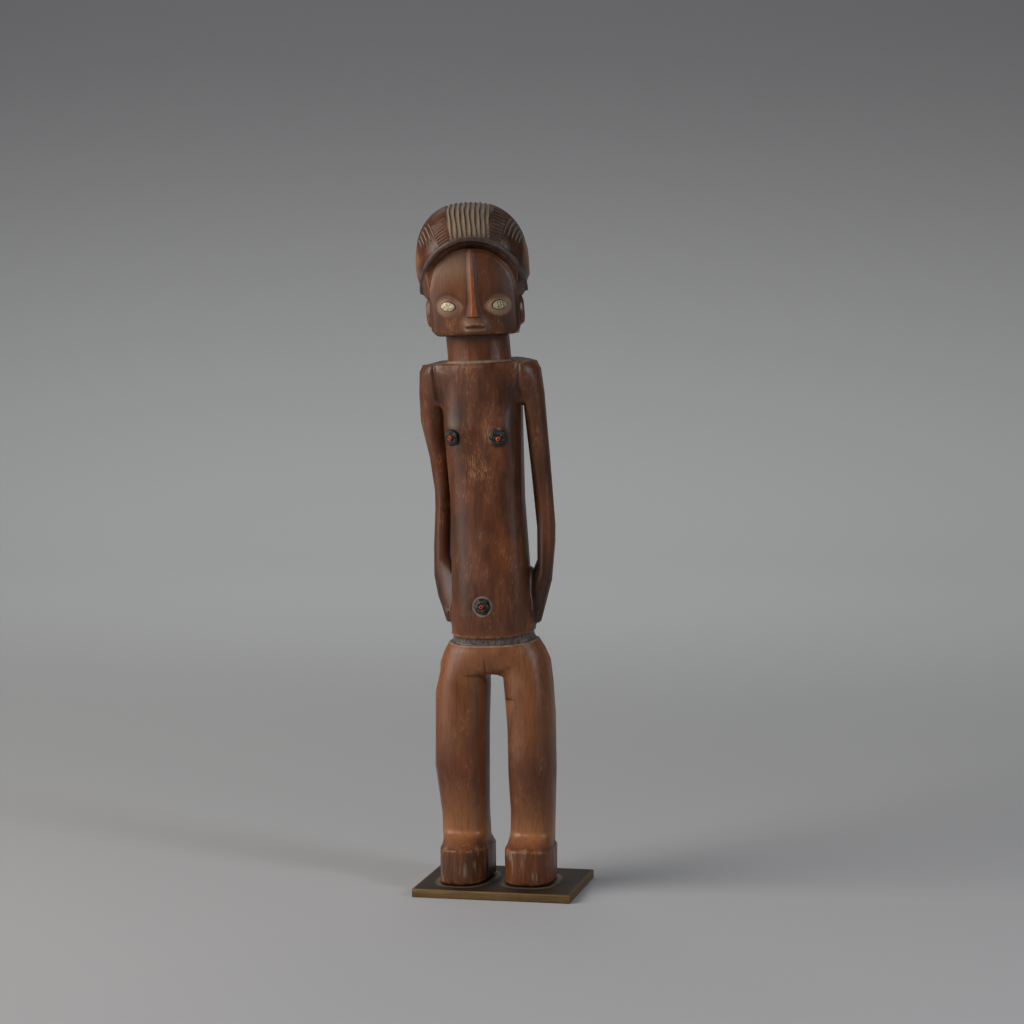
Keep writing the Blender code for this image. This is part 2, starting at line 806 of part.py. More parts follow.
def build_plate(material):
    solid = bmesh.new()
    bmesh.ops.create_cube(solid, size=1)
    bmesh.ops.scale(solid, vec=(plate_width, plate_depth, plate_thickness), verts=solid.verts)
    bmesh.ops.translate(solid, vec=(0, 0, plate_thickness / 2), verts=solid.verts)
    plate = add_object("base_plate", solid, material)
    bevel = plate.modifiers.new("Bevel", "BEVEL")
    bevel.width = plate_bevel
    bevel.segments = 1


build_figure(make_material("carved_wood", (0.16, 0.07, 0.035), 0.42))
build_inlays(
    make_material("shell", (0.62, 0.53, 0.36), 0.4),
    make_material("black_resin", (0.02, 0.018, 0.016), 0.35),
    make_material("red_glass", (0.55, 0.04, 0.02), 0.15),
)
build_plate(make_material("patinated_brass", (0.10, 0.065, 0.03), 0.45, 0.9))
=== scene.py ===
import math

import bpy
import numpy as np
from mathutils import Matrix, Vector, noise
from mathutils.bvhtree import BVHTree


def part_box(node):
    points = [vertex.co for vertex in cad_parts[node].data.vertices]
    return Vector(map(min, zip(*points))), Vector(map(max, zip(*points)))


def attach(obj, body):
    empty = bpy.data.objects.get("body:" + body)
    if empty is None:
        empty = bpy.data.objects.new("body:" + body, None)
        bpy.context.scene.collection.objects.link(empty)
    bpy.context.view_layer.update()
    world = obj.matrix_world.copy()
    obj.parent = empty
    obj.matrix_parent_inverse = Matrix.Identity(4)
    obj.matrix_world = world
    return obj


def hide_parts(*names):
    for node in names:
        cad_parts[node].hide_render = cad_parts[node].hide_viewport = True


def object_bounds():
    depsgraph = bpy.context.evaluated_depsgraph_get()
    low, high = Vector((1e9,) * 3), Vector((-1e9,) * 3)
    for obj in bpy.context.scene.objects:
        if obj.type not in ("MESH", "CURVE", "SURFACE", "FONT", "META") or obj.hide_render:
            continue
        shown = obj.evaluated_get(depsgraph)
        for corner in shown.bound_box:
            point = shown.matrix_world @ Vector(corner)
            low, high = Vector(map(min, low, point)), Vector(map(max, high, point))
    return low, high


# Carved wooden figure with shell eyes and resin-set beads, standing on a brass plate.
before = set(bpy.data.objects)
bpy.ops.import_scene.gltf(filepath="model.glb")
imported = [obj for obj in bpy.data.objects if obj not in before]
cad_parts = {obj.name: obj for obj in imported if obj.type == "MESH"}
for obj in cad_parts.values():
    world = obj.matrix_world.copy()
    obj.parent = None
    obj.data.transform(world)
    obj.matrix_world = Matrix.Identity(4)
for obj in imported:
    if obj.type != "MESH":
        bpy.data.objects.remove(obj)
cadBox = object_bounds()
print("frame loaded")

mm = 0.001


# Small helpers

def deselectAll():
    if bpy.context.object and bpy.context.object.mode != "OBJECT":
        bpy.ops.object.mode_set(mode="OBJECT")
    bpy.ops.object.select_all(action="DESELECT")


def makeActive(piece):
    deselectAll()
    piece.select_set(True)
    bpy.context.view_layer.objects.active = piece


def copyNode(nodeName, pieceName):
    # a loose-triangle node copied and welded, so that modifiers can work on it
    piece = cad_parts[nodeName].copy()
    piece.data = piece.data.copy()
    piece.name = piece.data.name = pieceName
    bpy.context.scene.collection.objects.link(piece)
    piece.data.materials.clear()
    makeActive(piece)
    bpy.ops.object.mode_set(mode="EDIT")
    bpy.ops.mesh.select_all(action="SELECT")
    bpy.ops.mesh.remove_doubles(threshold=0.00001)
    bpy.ops.mesh.normals_make_consistent(inside=False)
    bpy.ops.object.mode_set(mode="OBJECT")
    return piece


def selectFaces(piece, chosen):
    # leaves the piece in edit mode with just these faces selected
    makeActive(piece)
    bpy.ops.object.mode_set(mode="EDIT")
    bpy.ops.mesh.select_mode(type="FACE")
    bpy.ops.mesh.select_all(action="DESELECT")
    bpy.ops.object.mode_set(mode="OBJECT")
    piece.data.polygons.foreach_set("select", chosen)
    bpy.ops.object.mode_set(mode="EDIT")


def applyModifier(piece, kind, **settings):
    makeActive(piece)
    modifier = piece.modifiers.new(kind.title(), kind)
    for name, value in settings.items():
        setattr(modifier, name, value)
    bpy.ops.object.modifier_apply(modifier=modifier.name)


def settle(piece, nodeName, material):
    # origin back to the frame's, then the piece takes the node's place
    makeActive(piece)
    bpy.ops.object.transform_apply(location=True, rotation=True, scale=True)
    piece.data.materials.clear()
    piece.data.materials.append(material)
    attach(piece, "root")
    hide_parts(nodeName)
    print("finished", piece.name, len(piece.data.polygons), "faces")


def readPoints(piece):
    points = np.empty(len(piece.data.vertices) * 3)
    piece.data.vertices.foreach_get("co", points)
    return points.reshape(-1, 3)


def writePoints(piece, points):
    piece.data.vertices.foreach_set("co", np.ascontiguousarray(points).ravel())
    piece.data.update()


def readNormals(piece):
    normals = np.empty(len(piece.data.vertices) * 3)
    piece.data.vertices.foreach_get("normal", normals)
    return normals.reshape(-1, 3)


def readEdges(piece):
    edges = np.empty(len(piece.data.edges) * 2, dtype=np.int32)
    piece.data.edges.foreach_get("vertices", edges)
    return edges.reshape(-1, 2)


def spread(values, edges, rounds, share=0.5):
    # evens values out between neighbours, round by round
    first, second = edges.T
    total = len(values)
    near = np.bincount(edges.ravel(), minlength=total).clip(1)
    for turn in range(rounds):
        for axis in range(values.shape[1]):
            column = values[:, axis]
            around = np.bincount(first, column[second], total)
            around += np.bincount(second, column[first], total)
            values[:, axis] = column + share * (around / near - column)
    return values


def ramp(low, high, value):
    share = np.clip((value - low) / (high - low), 0, 1)
    return share * share * (3 - 2 * share)


def between(low, high, soft, value):
    return ramp(low - soft, low + soft, value) * (1 - ramp(high - soft, high + soft, value))


def lumps(points, size, depth=2, offset=0.0):
    # smooth noise from -1 to 1, with bumps of about that size
    at = points / size + offset
    return np.array([noise.fractal(Vector(place), 1.0, 2.0, depth) for place in at])


def keepValues(piece, name, values):
    # a value for each point, which the material reads
    layer = piece.data.attributes.get(name) or piece.data.attributes.new(name, "FLOAT", "POINT")
    layer.data.foreach_set("value", values.astype(np.float32))


def hexColor(code):
    # sRGB hex to the linear colour that a socket takes
    parts = [int(code[place:place + 2], 16) / 255 for place in (1, 3, 5)]
    linear = [
        part / 12.92 if part <= 0.04045 else ((part + 0.055) / 1.055) ** 2.4 for part in parts
    ]
    return tuple(linear) + (1,)


def addNode(tree, kind, settings=None, links=None):
    # one node, its settings, and what feeds it
    node = tree.nodes.new("ShaderNode" + kind)
    for name, value in (settings or {}).items():
        if isinstance(name, int) or name in node.inputs:
            node.inputs[name].default_value = value
        else:
            setattr(node, name, value)
    for name, source in (links or {}).items():
        tree.links.new(source, node.inputs[name])
    return node


def newMaterial(name, **values):
    material = bpy.data.materials.new(name)
    material.use_nodes = True
    shader = material.node_tree.nodes["Principled BSDF"]
    for key, value in values.items():
        shader.inputs[key.replace("_", " ")].default_value = value
    return material, material.node_tree, shader


# Camera, floor and light

view = {
    "lens": 105.5, "place": (0.3585, -1.7011, 0.3577), "pitch": 4.5, "turn": 11.75,
    "wallDistance": 3.2, "curve": 1.2, "wallHeight": 2.4, "wallSides": 96, "curveSteps": 12,
    # floor tones near and far, and the wall's tone: painted shade for the light's fall-off
    "nearColor": "#c2c2c3", "farColor": "#abacac", "wallShade": "#616163",
    "nearEdge": -0.3, "farEdge": 0.9, "fadeStart": -0.25, "fadeEnd": 0.85,
}


def buildCamera():
    bpy.ops.object.camera_add(
        location=view["place"],
        rotation=(math.radians(90 - view["pitch"]), 0, math.radians(view["turn"])),
    )
    camera = bpy.context.object
    camera.data.lens = view["lens"]
    bpy.context.scene.camera = camera


def buildStage():
    # a round studio sweep: pale floor curving up into a wall, with painted shade in its colour, the
    # floor darker farther back and the wall darker as it rises
    deselectAll()
    radius = view["wallDistance"] - view["curve"]
    bpy.ops.mesh.primitive_circle_add(vertices=view["wallSides"], radius=radius, fill_type="NGON")
    sweep = bpy.context.object
    sweep.name = "studioSweep"
    bpy.ops.object.mode_set(mode="EDIT")
    bpy.ops.mesh.select_all(action="SELECT")
    steps = view["curveSteps"]
    for step in range(1, steps + 1):
        angle, before = math.pi / 2 * step / steps, math.pi / 2 * (step - 1) / steps
        wide = view["wallDistance"] - view["curve"] * (1 - math.sin(angle))
        rise = view["curve"] * (math.cos(before) - math.cos(angle))
        bpy.ops.mesh.extrude_edges_move(TRANSFORM_OT_translate={"value": (0, 0, rise)})
        bpy.ops.transform.resize(value=(wide / radius, wide / radius, 1))
        radius = wide
    rise = view["wallHeight"] - view["curve"]
    bpy.ops.mesh.extrude_edges_move(TRANSFORM_OT_translate={"value": (0, 0, rise)})
    bpy.ops.mesh.select_all(action="SELECT")
    bpy.ops.mesh.normals_make_consistent(inside=True)
    bpy.ops.object.mode_set(mode="OBJECT")
    bpy.ops.object.shade_smooth()
    material, tree, shader = newMaterial("mattePaperSweep", Roughness=0.9)
    place = addNode(tree, "TexCoord")
    split = addNode(tree, "SeparateXYZ", links={0: place.outputs["Object"]})
    away, up = (addNode(
        tree, "MapRange",
        {"From Min": view[start], "From Max": view[end], "interpolation_type": "SMOOTHSTEP"},
        {"Value": split.outputs[axis]},
    ) for axis, start, end in (("Y", "nearEdge", "farEdge"), ("Z", "fadeStart", "fadeEnd")))
    floor = addNode(
        tree, "Mix",
        {"data_type": "RGBA", 6: hexColor(view["nearColor"]), 7: hexColor(view["farColor"])},
        {0: away.outputs[0]},
    )
    # painted shade: the wall's colour darkens as it rises
    tone = addNode(
        tree, "Mix", {"data_type": "RGBA", 7: hexColor(view["wallShade"])},
        {0: up.outputs[0], 6: floor.outputs[2]},
    )
    tree.links.new(tone.outputs[2], shader.inputs["Base Color"])
    sweep.data.materials.append(material)


lamps = {
    # place, aim, size, watts, colour
    "windowLeft": ((-1.42, -1.0, 1.0), (0, 0, 0.2), 1.7, 36, "#fffaf4"),
    "windowRight": ((1.25, -0.65, 0.75), (0, 0, 0.2), 0.4, 6, "#eef4ff"),
    "backdropGlow": ((-0.5, 1.7, 1.9), (0, 3.2, 0.1), 2.2, 32, "#ffffff"),
}
air = {"color": "#c8ccd2", "strength": 0.2}


def buildLights():
    for name, (place, aim, size, watts, color) in lamps.items():
        deselectAll()
        bpy.ops.object.light_add(type="AREA", location=place)
        lamp = bpy.context.object
        lamp.name = name
        lamp.rotation_euler = (Vector(aim) - Vector(place)).to_track_quat("-Z", "Y").to_euler()
        lamp.data.shape = "DISK"
        lamp.data.size = size
        lamp.data.energy = watts
        lamp.data.color = hexColor(color)[:3]
        lamp.visible_camera = False
    world = bpy.data.worlds.new("studioAir")
    world.use_nodes = True
    sky = world.node_tree.nodes["Background"].inputs
    sky["Color"].default_value = hexColor(air["color"])
    sky["Strength"].default_value = air["strength"]
    bpy.context.scene.world = world


buildCamera()
buildStage()
buildLights()
print("camera, floor and light")


# Wooden figure: proportions and pose in thousandths of its height, as it was carved

carving = {
    "height": 0.395, "soles": 0.0053, "footShift": -6.6, "leanReach": 48.5, "leanCurve": 1.7,
    "leanMeasure": 1015, "bodyRoll": 2.5, "rollHeights": (75, 330), "headTurn": 10,
    "turnHeights": (775, 806), "pointSpacing": 0.5 * mm, "softening": 170, "faceCount": 172000,
    "swell": 0.2 * mm, "knifeMarks": 0.08 * mm,
}
hair = {
    "centre": 905, "halfWidth": 83.5, "front": 86, "back": 90, "up": 95, "down": 80,
    "squareness": 2.35, "archCentre": 868, "rim": 76.5, "tuck": 9.5,
    # degrees across the cap, the number of ridges, and depths of the cuts
    "bandEdge": 17.5, "panelEdge": 35, "outerEdge": 59, "ridges": 8, "outerRidges": 5, "lean": 0.22,
    "deep": 1.9, "fine": 1.5,
    # fine panels: lines, lowest and highest as a share of the cap's rise, slope
    "leftPanel": (10, 0.3, 0.80, 0.007), "rightPanel": (12, 0.3, 0.985, 0.004),
}
face = {
    "front": 70, "halfWidth": 64.5, "sideFall": 13, "browFall": 9, "chinFall": 3, "jaw": 806,
    "headHeight": 194, "eyeHalfLength": 9.9, "eyeHalfHeight": 6.6,
    # as shares of the head's height, measured up from the jaw or out from the middle
    "eyeLevel": 0.22, "eyeSpread": 0.19, "noseTip": 0.135, "noseRoot": 0.6, "mouthLevel": 0.056,
    "mouthHalf": 0.084,
}
body = {
    # resin seats: across and up; heights and widths; cuts: place, start and end
    "seats": ((-40, 658.5), (30, 655.5), (-5, 411)), "seatRadius": 10.9,
    "beltLow": 358.5, "beltHigh": 369.5, "beltHang": 7, "handEdge": 62, "finger": 7.2,
    "neckFoot": 767, "footEdge": 53.2, "instep": 73, "furrow": (62.5, 690, 764),
    "legCrack": (272, 18, 33), "pelvisCut": (-6.5, 311, 331), "pelvisFold": (307, -36, -12),
}


def bendAt(z):
    # the head's turn, the body's roll and its sideways lean at a height
    turn = math.radians(carving["headTurn"]) * ramp(*carving["turnHeights"], z)
    roll = math.radians(carving["bodyRoll"]) * ramp(*carving["rollHeights"], z)
    bent = (z.clip(0) / carving["leanMeasure"]) ** carving["leanCurve"]
    return turn, roll, carving["footShift"] - carving["leanReach"] * bent


def poseAt(points):
    # upright thousandths to the leaning figure on its plate, in metres
    unit = carving["height"] / 1000
    x, y, z = points.T
    turn, roll, lean = bendAt(z)
    across = x * np.cos(turn) - y * np.sin(turn)
    along = x * np.sin(turn) + y * np.cos(turn)
    return np.stack([
        (lean + across * np.cos(roll)) * unit, along * unit,
        carving["soles"] + (z + across * np.sin(roll)) * unit,
    ], axis=1)


def uprightAt(points):
    # the way back, found by a few rounds
    unit = carving["height"] / 1000
    across, along, high = ((points - [0, 0, carving["soles"]]) / unit).T
    z, side = high.copy(), across.copy()
    for attempt in range(6):
        roll, lean = bendAt(z)[1:]
        side = (across - lean) / np.cos(roll)
        z = high - side * np.sin(roll)
    turn = -bendAt(z)[0]
    return np.stack([
        side * np.cos(turn) - along * np.sin(turn), side * np.sin(turn) + along * np.cos(turn), z,
    ], axis=1)


def hairAngles(x, y, z):
    # degrees across the cap, and degrees from its front over the top
    out = np.stack([x, y, z - hair["centre"]], axis=1)
    reach = np.linalg.norm(out, axis=1).clip(1e-6)
    across = np.degrees(np.arcsin((out[:, 0] / reach).clip(-1, 1)))
    over = np.degrees(np.arctan2(out[:, 2], -out[:, 1]))
    over = np.where(over < -90, over + 360, over)
    return across, over, reach, out / reach[:, None]


def capReach(way):
    along = np.where(way[:, 1] > 0, hair["back"], hair["front"])
    up = np.where(way[:, 2] > 0, hair["up"], hair["down"])
    power = hair["squareness"]
    total = np.abs(way[:, 0] / hair["halfWidth"]) ** power + np.abs(way[:, 1] / along) ** power
    total += np.abs(way[:, 2] / up) ** power
    return total ** (-1 / power)


def hairCuts(across, over):
    # depth of the hair lines, and how much of a dusty groove each place is
    size = np.abs(across)
    wave = 0.3 * np.sin(np.radians(over * 8 + across * 3))
    wave += 0.2 * np.sin(np.radians(over * 15 + across * 29))
    phase = (across + wave + hair["bandEdge"]) / (2 * hair["bandEdge"] / hair["ridges"])
    centre = ramp(0.1, 0.62, 0.5 + 0.5 * np.cos(2 * np.pi * phase))
    centre *= 1 - ramp(hair["bandEdge"] + 0.7, hair["bandEdge"] + 1.5, np.abs(across + wave))
    centre *= ramp(23, 27, over) * (1 - ramp(135, 180, over))
    # the outer bands lean in towards the rim
    bent = size + hair["lean"] * (45 - over).clip(-35, 30)
    step = (hair["outerEdge"] - hair["panelEdge"]) / hair["outerRidges"]
    outer = ramp(0.35, 0.95, 0.5 + 0.5 * np.cos(2 * np.pi * (bent - hair["panelEdge"]) / step))
    outer *= between(hair["panelEdge"] - 0.6, hair["outerEdge"] - 1, 1, bent)
    outer *= ramp(24, 40, over) * (1 - ramp(58, 68, over - 18 * (across > 0)))
    cuts = hair["deep"] * (centre + 0.7 * outer)
    # the dust is worn off near the rim and over the crown
    paleShare = centre * (0.55 + 0.45 * ramp(28, 42, over)) * (1 - ramp(84, 118, over))
    grooves = np.maximum(paleShare, 0.62 * outer)
    rise = np.sin(np.radians(over.clip(-90, 90)))
    for side, (lines, low, high, slope) in ((-1, hair["leftPanel"]), (1, hair["rightPanel"])):
        level = rise + slope * (size - hair["bandEdge"]) * (1.3 - rise)
        level += 0.003 * np.sin(size * 0.5 + side + level * 30)
        phase = (level - low) / (high - low) * lines
        fine = (0.5 + 0.5 * np.cos(2 * np.pi * phase)) ** 1.6
        fine *= between(hair["bandEdge"] + 1.6, hair["panelEdge"] - 1.4, 0.6, bent)
        fine *= between(low, high, 0.01, level) * (across * side > 0) * (over < 92)
        cuts = cuts + hair["fine"] * fine
        grooves = np.maximum(grooves, 0.4 * fine)
    return cuts, grooves


def faceDepth(x, z):
    # how far forward the face stands
    side = np.abs(x) / face["halfWidth"]
    rise = (z - hair["archCentre"]) / face["halfWidth"]
    fall = np.where(rise > 0, face["browFall"], face["chinFall"])
    return face["front"] - face["sideFall"] * side ** 2.4 - fall * rise ** 2


def eyeMeasure(x, z, side):
    # 1 on the shell's outline, growing outwards; the eye tilts up a little at its outer end
    tilt = math.radians(6) * side
    dx = x - side * face["eyeSpread"] * face["headHeight"]
    dz = z - face["jaw"] - face["eyeLevel"] * face["headHeight"]
    long = dx * math.cos(tilt) + dz * math.sin(tilt)
    high = dz * math.cos(tilt) - dx * math.sin(tilt)
    measure = np.sqrt((long / face["eyeHalfLength"]) ** 2 + (high / face["eyeHalfHeight"]) ** 2)
    return measure, long, high


def faceRelief(x, z):
    # nose, eye discs and lips, as heights above the domed face
    head, jaw = face["headHeight"], face["jaw"]
    tip, root = jaw + face["noseTip"] * head, jaw + face["noseRoot"] * head + 16
    down = ((root - z) / (root - tip)).clip(0, 1)
    half = 5.8 + 2.8 * down + 3.4 * ramp(0.8, 0.97, down)
    height = 2.6 * ramp(0, 0.1, down) + 4.8 * down + 1.6 * ramp(0.8, 0.95, down)
    profile = 1 - ((np.abs(x) / half - 0.28) / 0.72).clip(0, 1)
    nose = height * profile * ramp(tip - 1.5, tip + 1.2, z) * ramp(root + 3, root - 6, z)
    relief = np.zeros_like(x)
    lidLine = np.zeros_like(x)
    disc = np.zeros_like(x)
    for side in (-1, 1):
        measure, long, high = eyeMeasure(x, z, side)
        # the disc narrows to a point towards the nose
        inward = (-side * long / 24).clip(0, 1)
        lid = np.sqrt((long / (face["eyeHalfLength"] + 8.5 + 4 * (inward > 0))) ** 2 + (
            high / ((face["eyeHalfHeight"] + 10.5) * (1 - 0.42 * inward ** 1.5))) ** 2)
        socket = 4.2 * (1 - ramp(0.9, 1.5, lid)) * (0.25 + 0.75 * ramp(-20, 10, high))
        swell = 7.0 * (1 - lid.clip(0, 1) ** 2) ** 0.8
        relief = relief - socket + swell - 4.2 * (1 - ramp(0.86, 1.1, measure))
        # painted shade: a dark arc above each disc under the brow; the line round each shell is its
        # seam
        brow = 0.45 * between(0.98, 1.2, 0.1, lid) * ramp(2, 12, high)
        lidLine = np.maximum.reduce([lidLine, between(0.92, 1.16, 0.08, measure), brow])
        disc = np.maximum(disc, between(0.35, 0.93, 0.12, lid) * (1 - 0.7 * ramp(4, 12, high)))
    level, halfMouth = jaw + face["mouthLevel"] * head, face["mouthHalf"] * head
    wide = (np.abs(x) / halfMouth).clip(0, 1.6)
    muzzle = 1 - ramp(0.35, 1.6, np.sqrt(wide ** 2 + ((z - level - 1) / 16) ** 2))
    block = 4.2 * muzzle
    disc = np.maximum(disc, 0.45 * muzzle * (1 - lidLine))
    lipWidth = 1 - wide.clip(0, 1) ** 3
    upper = 4.0 * np.exp(-((z - level - 5.4 + 1.8 * wide) / 3.6) ** 2) * lipWidth
    lower = 4.6 * np.exp(-((z - level + 5.0 - 1.8 * wide ** 2) / 3.4) ** 2) * lipWidth
    parting = np.exp(-((z - level) / 1.5) ** 2) * (1 - ramp(0.6, 1.0, wide))
    # painted shade in the mouth's parting joins the dark lines
    lidLine = np.maximum(lidLine, 0.7 * parting)
    relief = np.maximum(np.maximum(relief, nose), block + upper + lower - 2.4 * parting)
    ridge = ramp(0.2, 0.8, profile * ramp(root + 3, root - 6, z) * (z > tip - 2))
    return relief, lidLine, disc, ridge


def evened(figure, rounds):
    applyModifier(figure, "SMOOTH", factor=1.0, iterations=rounds)
    return readPoints(figure)


def softenFigure(figure):
    # evens out the flats, less so where edges are crisp, and gives back what that shrank
    light = evened(figure, 8)
    middling = evened(figure, 26)
    soft = evened(figure, carving["softening"])
    soft += soft - evened(figure, carving["softening"])
    x, y, z = uprightAt(light).T
    shoulders = between(690, 815, 8, z)
    ankles = 1 - ramp(84, 98, z)
    crisp = np.maximum.reduce([
        1 - ramp(50, 57, z), ramp(798, 812, z), between(378, 402, 6, z) * ramp(60, 66, np.abs(x)),
        between(752, 775, 5, z),
    ])
    for points, share in ((middling, np.maximum(shoulders, ankles)), (light, crisp)):
        soft = soft * (1 - share[:, None]) + points * share[:, None]
    writePoints(figure, soft)


def hairZones(x, y, z):
    # the cap's outside, and its part that carries the hair lines
    across, over, reach, way = hairAngles(x, y, z)
    size, arch = np.abs(across), np.hypot(x, z - hair["archCentre"])
    onHair = (np.abs(reach - capReach(way)) < 5) & (z > hair["archCentre"])
    onHair &= (y > 0) | (arch > hair["rim"] + 3)
    lined = (size < hair["outerEdge"] + 2) & (over < 112)
    lined |= (size < hair["bandEdge"] + 2) & (over < 175)
    return onHair, onHair & (over > 18) & lined


def thinFigure(figure):
    # fewer faces where the wood is plain, all of them kept where it is carved
    x, y, z = uprightAt(readPoints(figure)).T
    onHair, lines = hairZones(x, y, z)
    arch = np.hypot(x, z - hair["archCentre"])
    frontHead = (z > 803) & (y < -22) & ~onHair
    features = frontHead & ((z < 875) | (arch > face["halfWidth"] - 6) | (np.abs(x) < 14))
    cuts = (np.abs(z - 271) < 6) & (x > 14) & (x < 37)
    cuts |= (np.abs(z - 321) < 14) & (np.abs(x - body["pelvisCut"][0]) < 5)
    keep = lines & (hairAngles(x, y, z)[1] < 96) | features | cuts & (y < -20)
    # the belt, the hands, the feet, the neck's foot, the furrows and the fold
    some = (z > 341) & (z < 378) | (z > 378) & (z < 402) & (np.abs(x) > 60) | (z < 80) & (y < 10)
    some |= lines | frontHead | (np.abs(z - body["neckFoot"]) < 10) & (np.hypot(x, y) < 66)
    some |= (np.abs(np.abs(x) - 63) < 7) & (z > 685) & (z < 770) & (y < -15)
    some |= (np.abs(z - body["pelvisFold"][0]) < 9) & (x > -40) & (x < -6) & (y < -15)
    for place in body["seats"]:
        some |= (np.hypot(x - place[0], z - place[1]) < 19) & (y < 0)
    group = figure.vertex_groups.new(name="plain")
    group.add(np.flatnonzero(~keep).tolist(), 1.0, "REPLACE")
    group.add(np.flatnonzero(some & ~keep).tolist(), 0.12, "REPLACE")
    total = len(figure.data.polygons) * 2
    applyModifier(
        figure, "DECIMATE", ratio=carving["faceCount"] / total, vertex_group="plain",
        vertex_group_factor=1.0, use_collapse_triangulate=True,
    )
    figure.vertex_groups.clear()
    # a finer mesh under the fine lines of the hair
    middles = np.empty(len(figure.data.polygons) * 3)
    figure.data.polygons.foreach_get("center", middles)
    x, y, z = uprightAt(middles.reshape(-1, 3)).T
    across, over = hairAngles(x, y, z)[:2]
    selectFaces(figure, hairZones(x, y, z)[1] & (over < 80) & (np.abs(np.abs(across) - 26.5) < 7.5))
    bpy.ops.mesh.subdivide(number_cuts=1)
    bpy.ops.mesh.select_all(action="SELECT")
    bpy.ops.mesh.quads_convert_to_tris()
    bpy.ops.object.mode_set(mode="OBJECT")


def carveHead(upright):
    x, y, z = upright.T.copy()
    across, over, reach, way = hairAngles(x, y, z)
    arch = np.hypot(x, z - hair["archCentre"])
    outside = np.where(y < 0, ramp(hair["rim"] + 2.2, hair["rim"] + 5.0, arch), 1)
    onHair = (np.abs(reach - capReach(way)) < 5.5) * ramp(862, 868, z) * outside
    cuts, grooves = hairCuts(across, over)
    moved = reach + (capReach(way) - cuts - reach) * onHair
    # the cap's lower edge is drawn in
    onCap = (np.abs(reach - capReach(way)) < 7) & (np.hypot(y, x) > 55)
    onCap &= (y > -20) | (arch > hair["rim"] + 3)
    moved -= hair["tuck"] * (1 - ramp(846, 898, z)) * onCap
    x, y, z = way.T * moved
    z = z + hair["centre"]
    # face, its edge rounded over
    above = (z - hair["archCentre"]).clip(0)
    inset = np.minimum(face["halfWidth"] - np.hypot(x, above), z - face["jaw"])
    relief, lidLine, disc, ridge = faceRelief(x, z)
    rounding = 3.4 * (1 - (inset / 8).clip(0, 1)) ** 2
    onFace = (y < -(faceDepth(x, z) - 15)) * ramp(0.3, 2.5, inset)
    y = y + (-(faceDepth(x, z) + relief - rounding) - y) * onFace
    # the face's upper edge, later painted pale: rubbed, with a painted highlight
    edge = between(0.6, 3.4, 1.0, inset) * ramp(855, 880, z)
    return np.stack([x, y, z], axis=1), [
        grooves * onHair, 0.8 * lidLine * onFace, disc * onFace, ridge * onFace, edge * onFace,
        onHair * (across ** 2 < hair["outerEdge"] ** 2) * between(22, 130, 8, over),
    ]


def carveBody(upright, normals):
    # belt channel under the overhanging belly, fingers, a crack and two small cuts
    x, y, z = upright.T
    hang = body["beltHang"] * np.where(y < 0, (y / 46) ** 2, 0).clip(0, 1)
    level = z + hang
    trunk = (np.abs(x) < 90) & (z > 340)
    channel = between(body["beltLow"], body["beltHigh"], 0.7, level) * trunk
    belly = np.exp(-((level - body["beltHigh"] - 2.6) / 2.4) ** 2) * trunk
    lip = np.exp(-((level - body["beltLow"] + 2.2) / 1.8) ** 2) * trunk
    depth = 0.6 * belly + 0.35 * lip - 2.3 * channel
    # fingers laid along the hip, the gaps cut upright
    onHand = between(381, 402, 4, z) * ramp(body["handEdge"], body["handEdge"] + 3, np.abs(x))
    onHand *= np.abs(y) < 26
    fingers = (0.5 + 0.5 * np.cos(2 * np.pi * ((y - 4) / body["finger"] + 0.5))) ** 3 * onHand
    front = y < -20
    at, start, end = body["legCrack"]
    crack = np.exp(-((z - at + 0.1 * (x - 26)) / 0.9) ** 2) * between(start, end, 1.5, x) * front
    at, start, end = body["pelvisCut"]
    cut = np.exp(-((x - at) / 0.9) ** 2) * between(start, end, 3, z) * front
    at, start, end = body["pelvisFold"]
    fold = 0.7 * np.exp(-((z - at + 0.1 * (x + 22)) / 1.8) ** 2) * between(start, end, 4, x) * front
    cuts = np.maximum.reduce([crack, cut, fold])
    # a furrow between the chest and each arm, from the shoulder's top to the armpit
    at, start, end = body["furrow"]
    furrow = np.exp(-((np.abs(x) - at - 0.03 * (z - 730)) / 3.2) ** 2)
    furrow *= between(start, end, 10, z) * front
    depth -= 1.9 * fingers + 0.9 * cuts + 2.8 * furrow
    # the cuts are darkened, and each furrow gets a little painted shade
    marks = np.maximum(cuts, 0.25 * furrow)
    return upright + normals * depth[:, None], level, channel, fingers, marks


def hollowAndEdge(points, normals, edges, rounds):
    # how hollow (+) or proud (-) each place is against its surroundings
    around = spread(points.copy(), edges, rounds)
    return ((around - points) * normals).sum(axis=1)


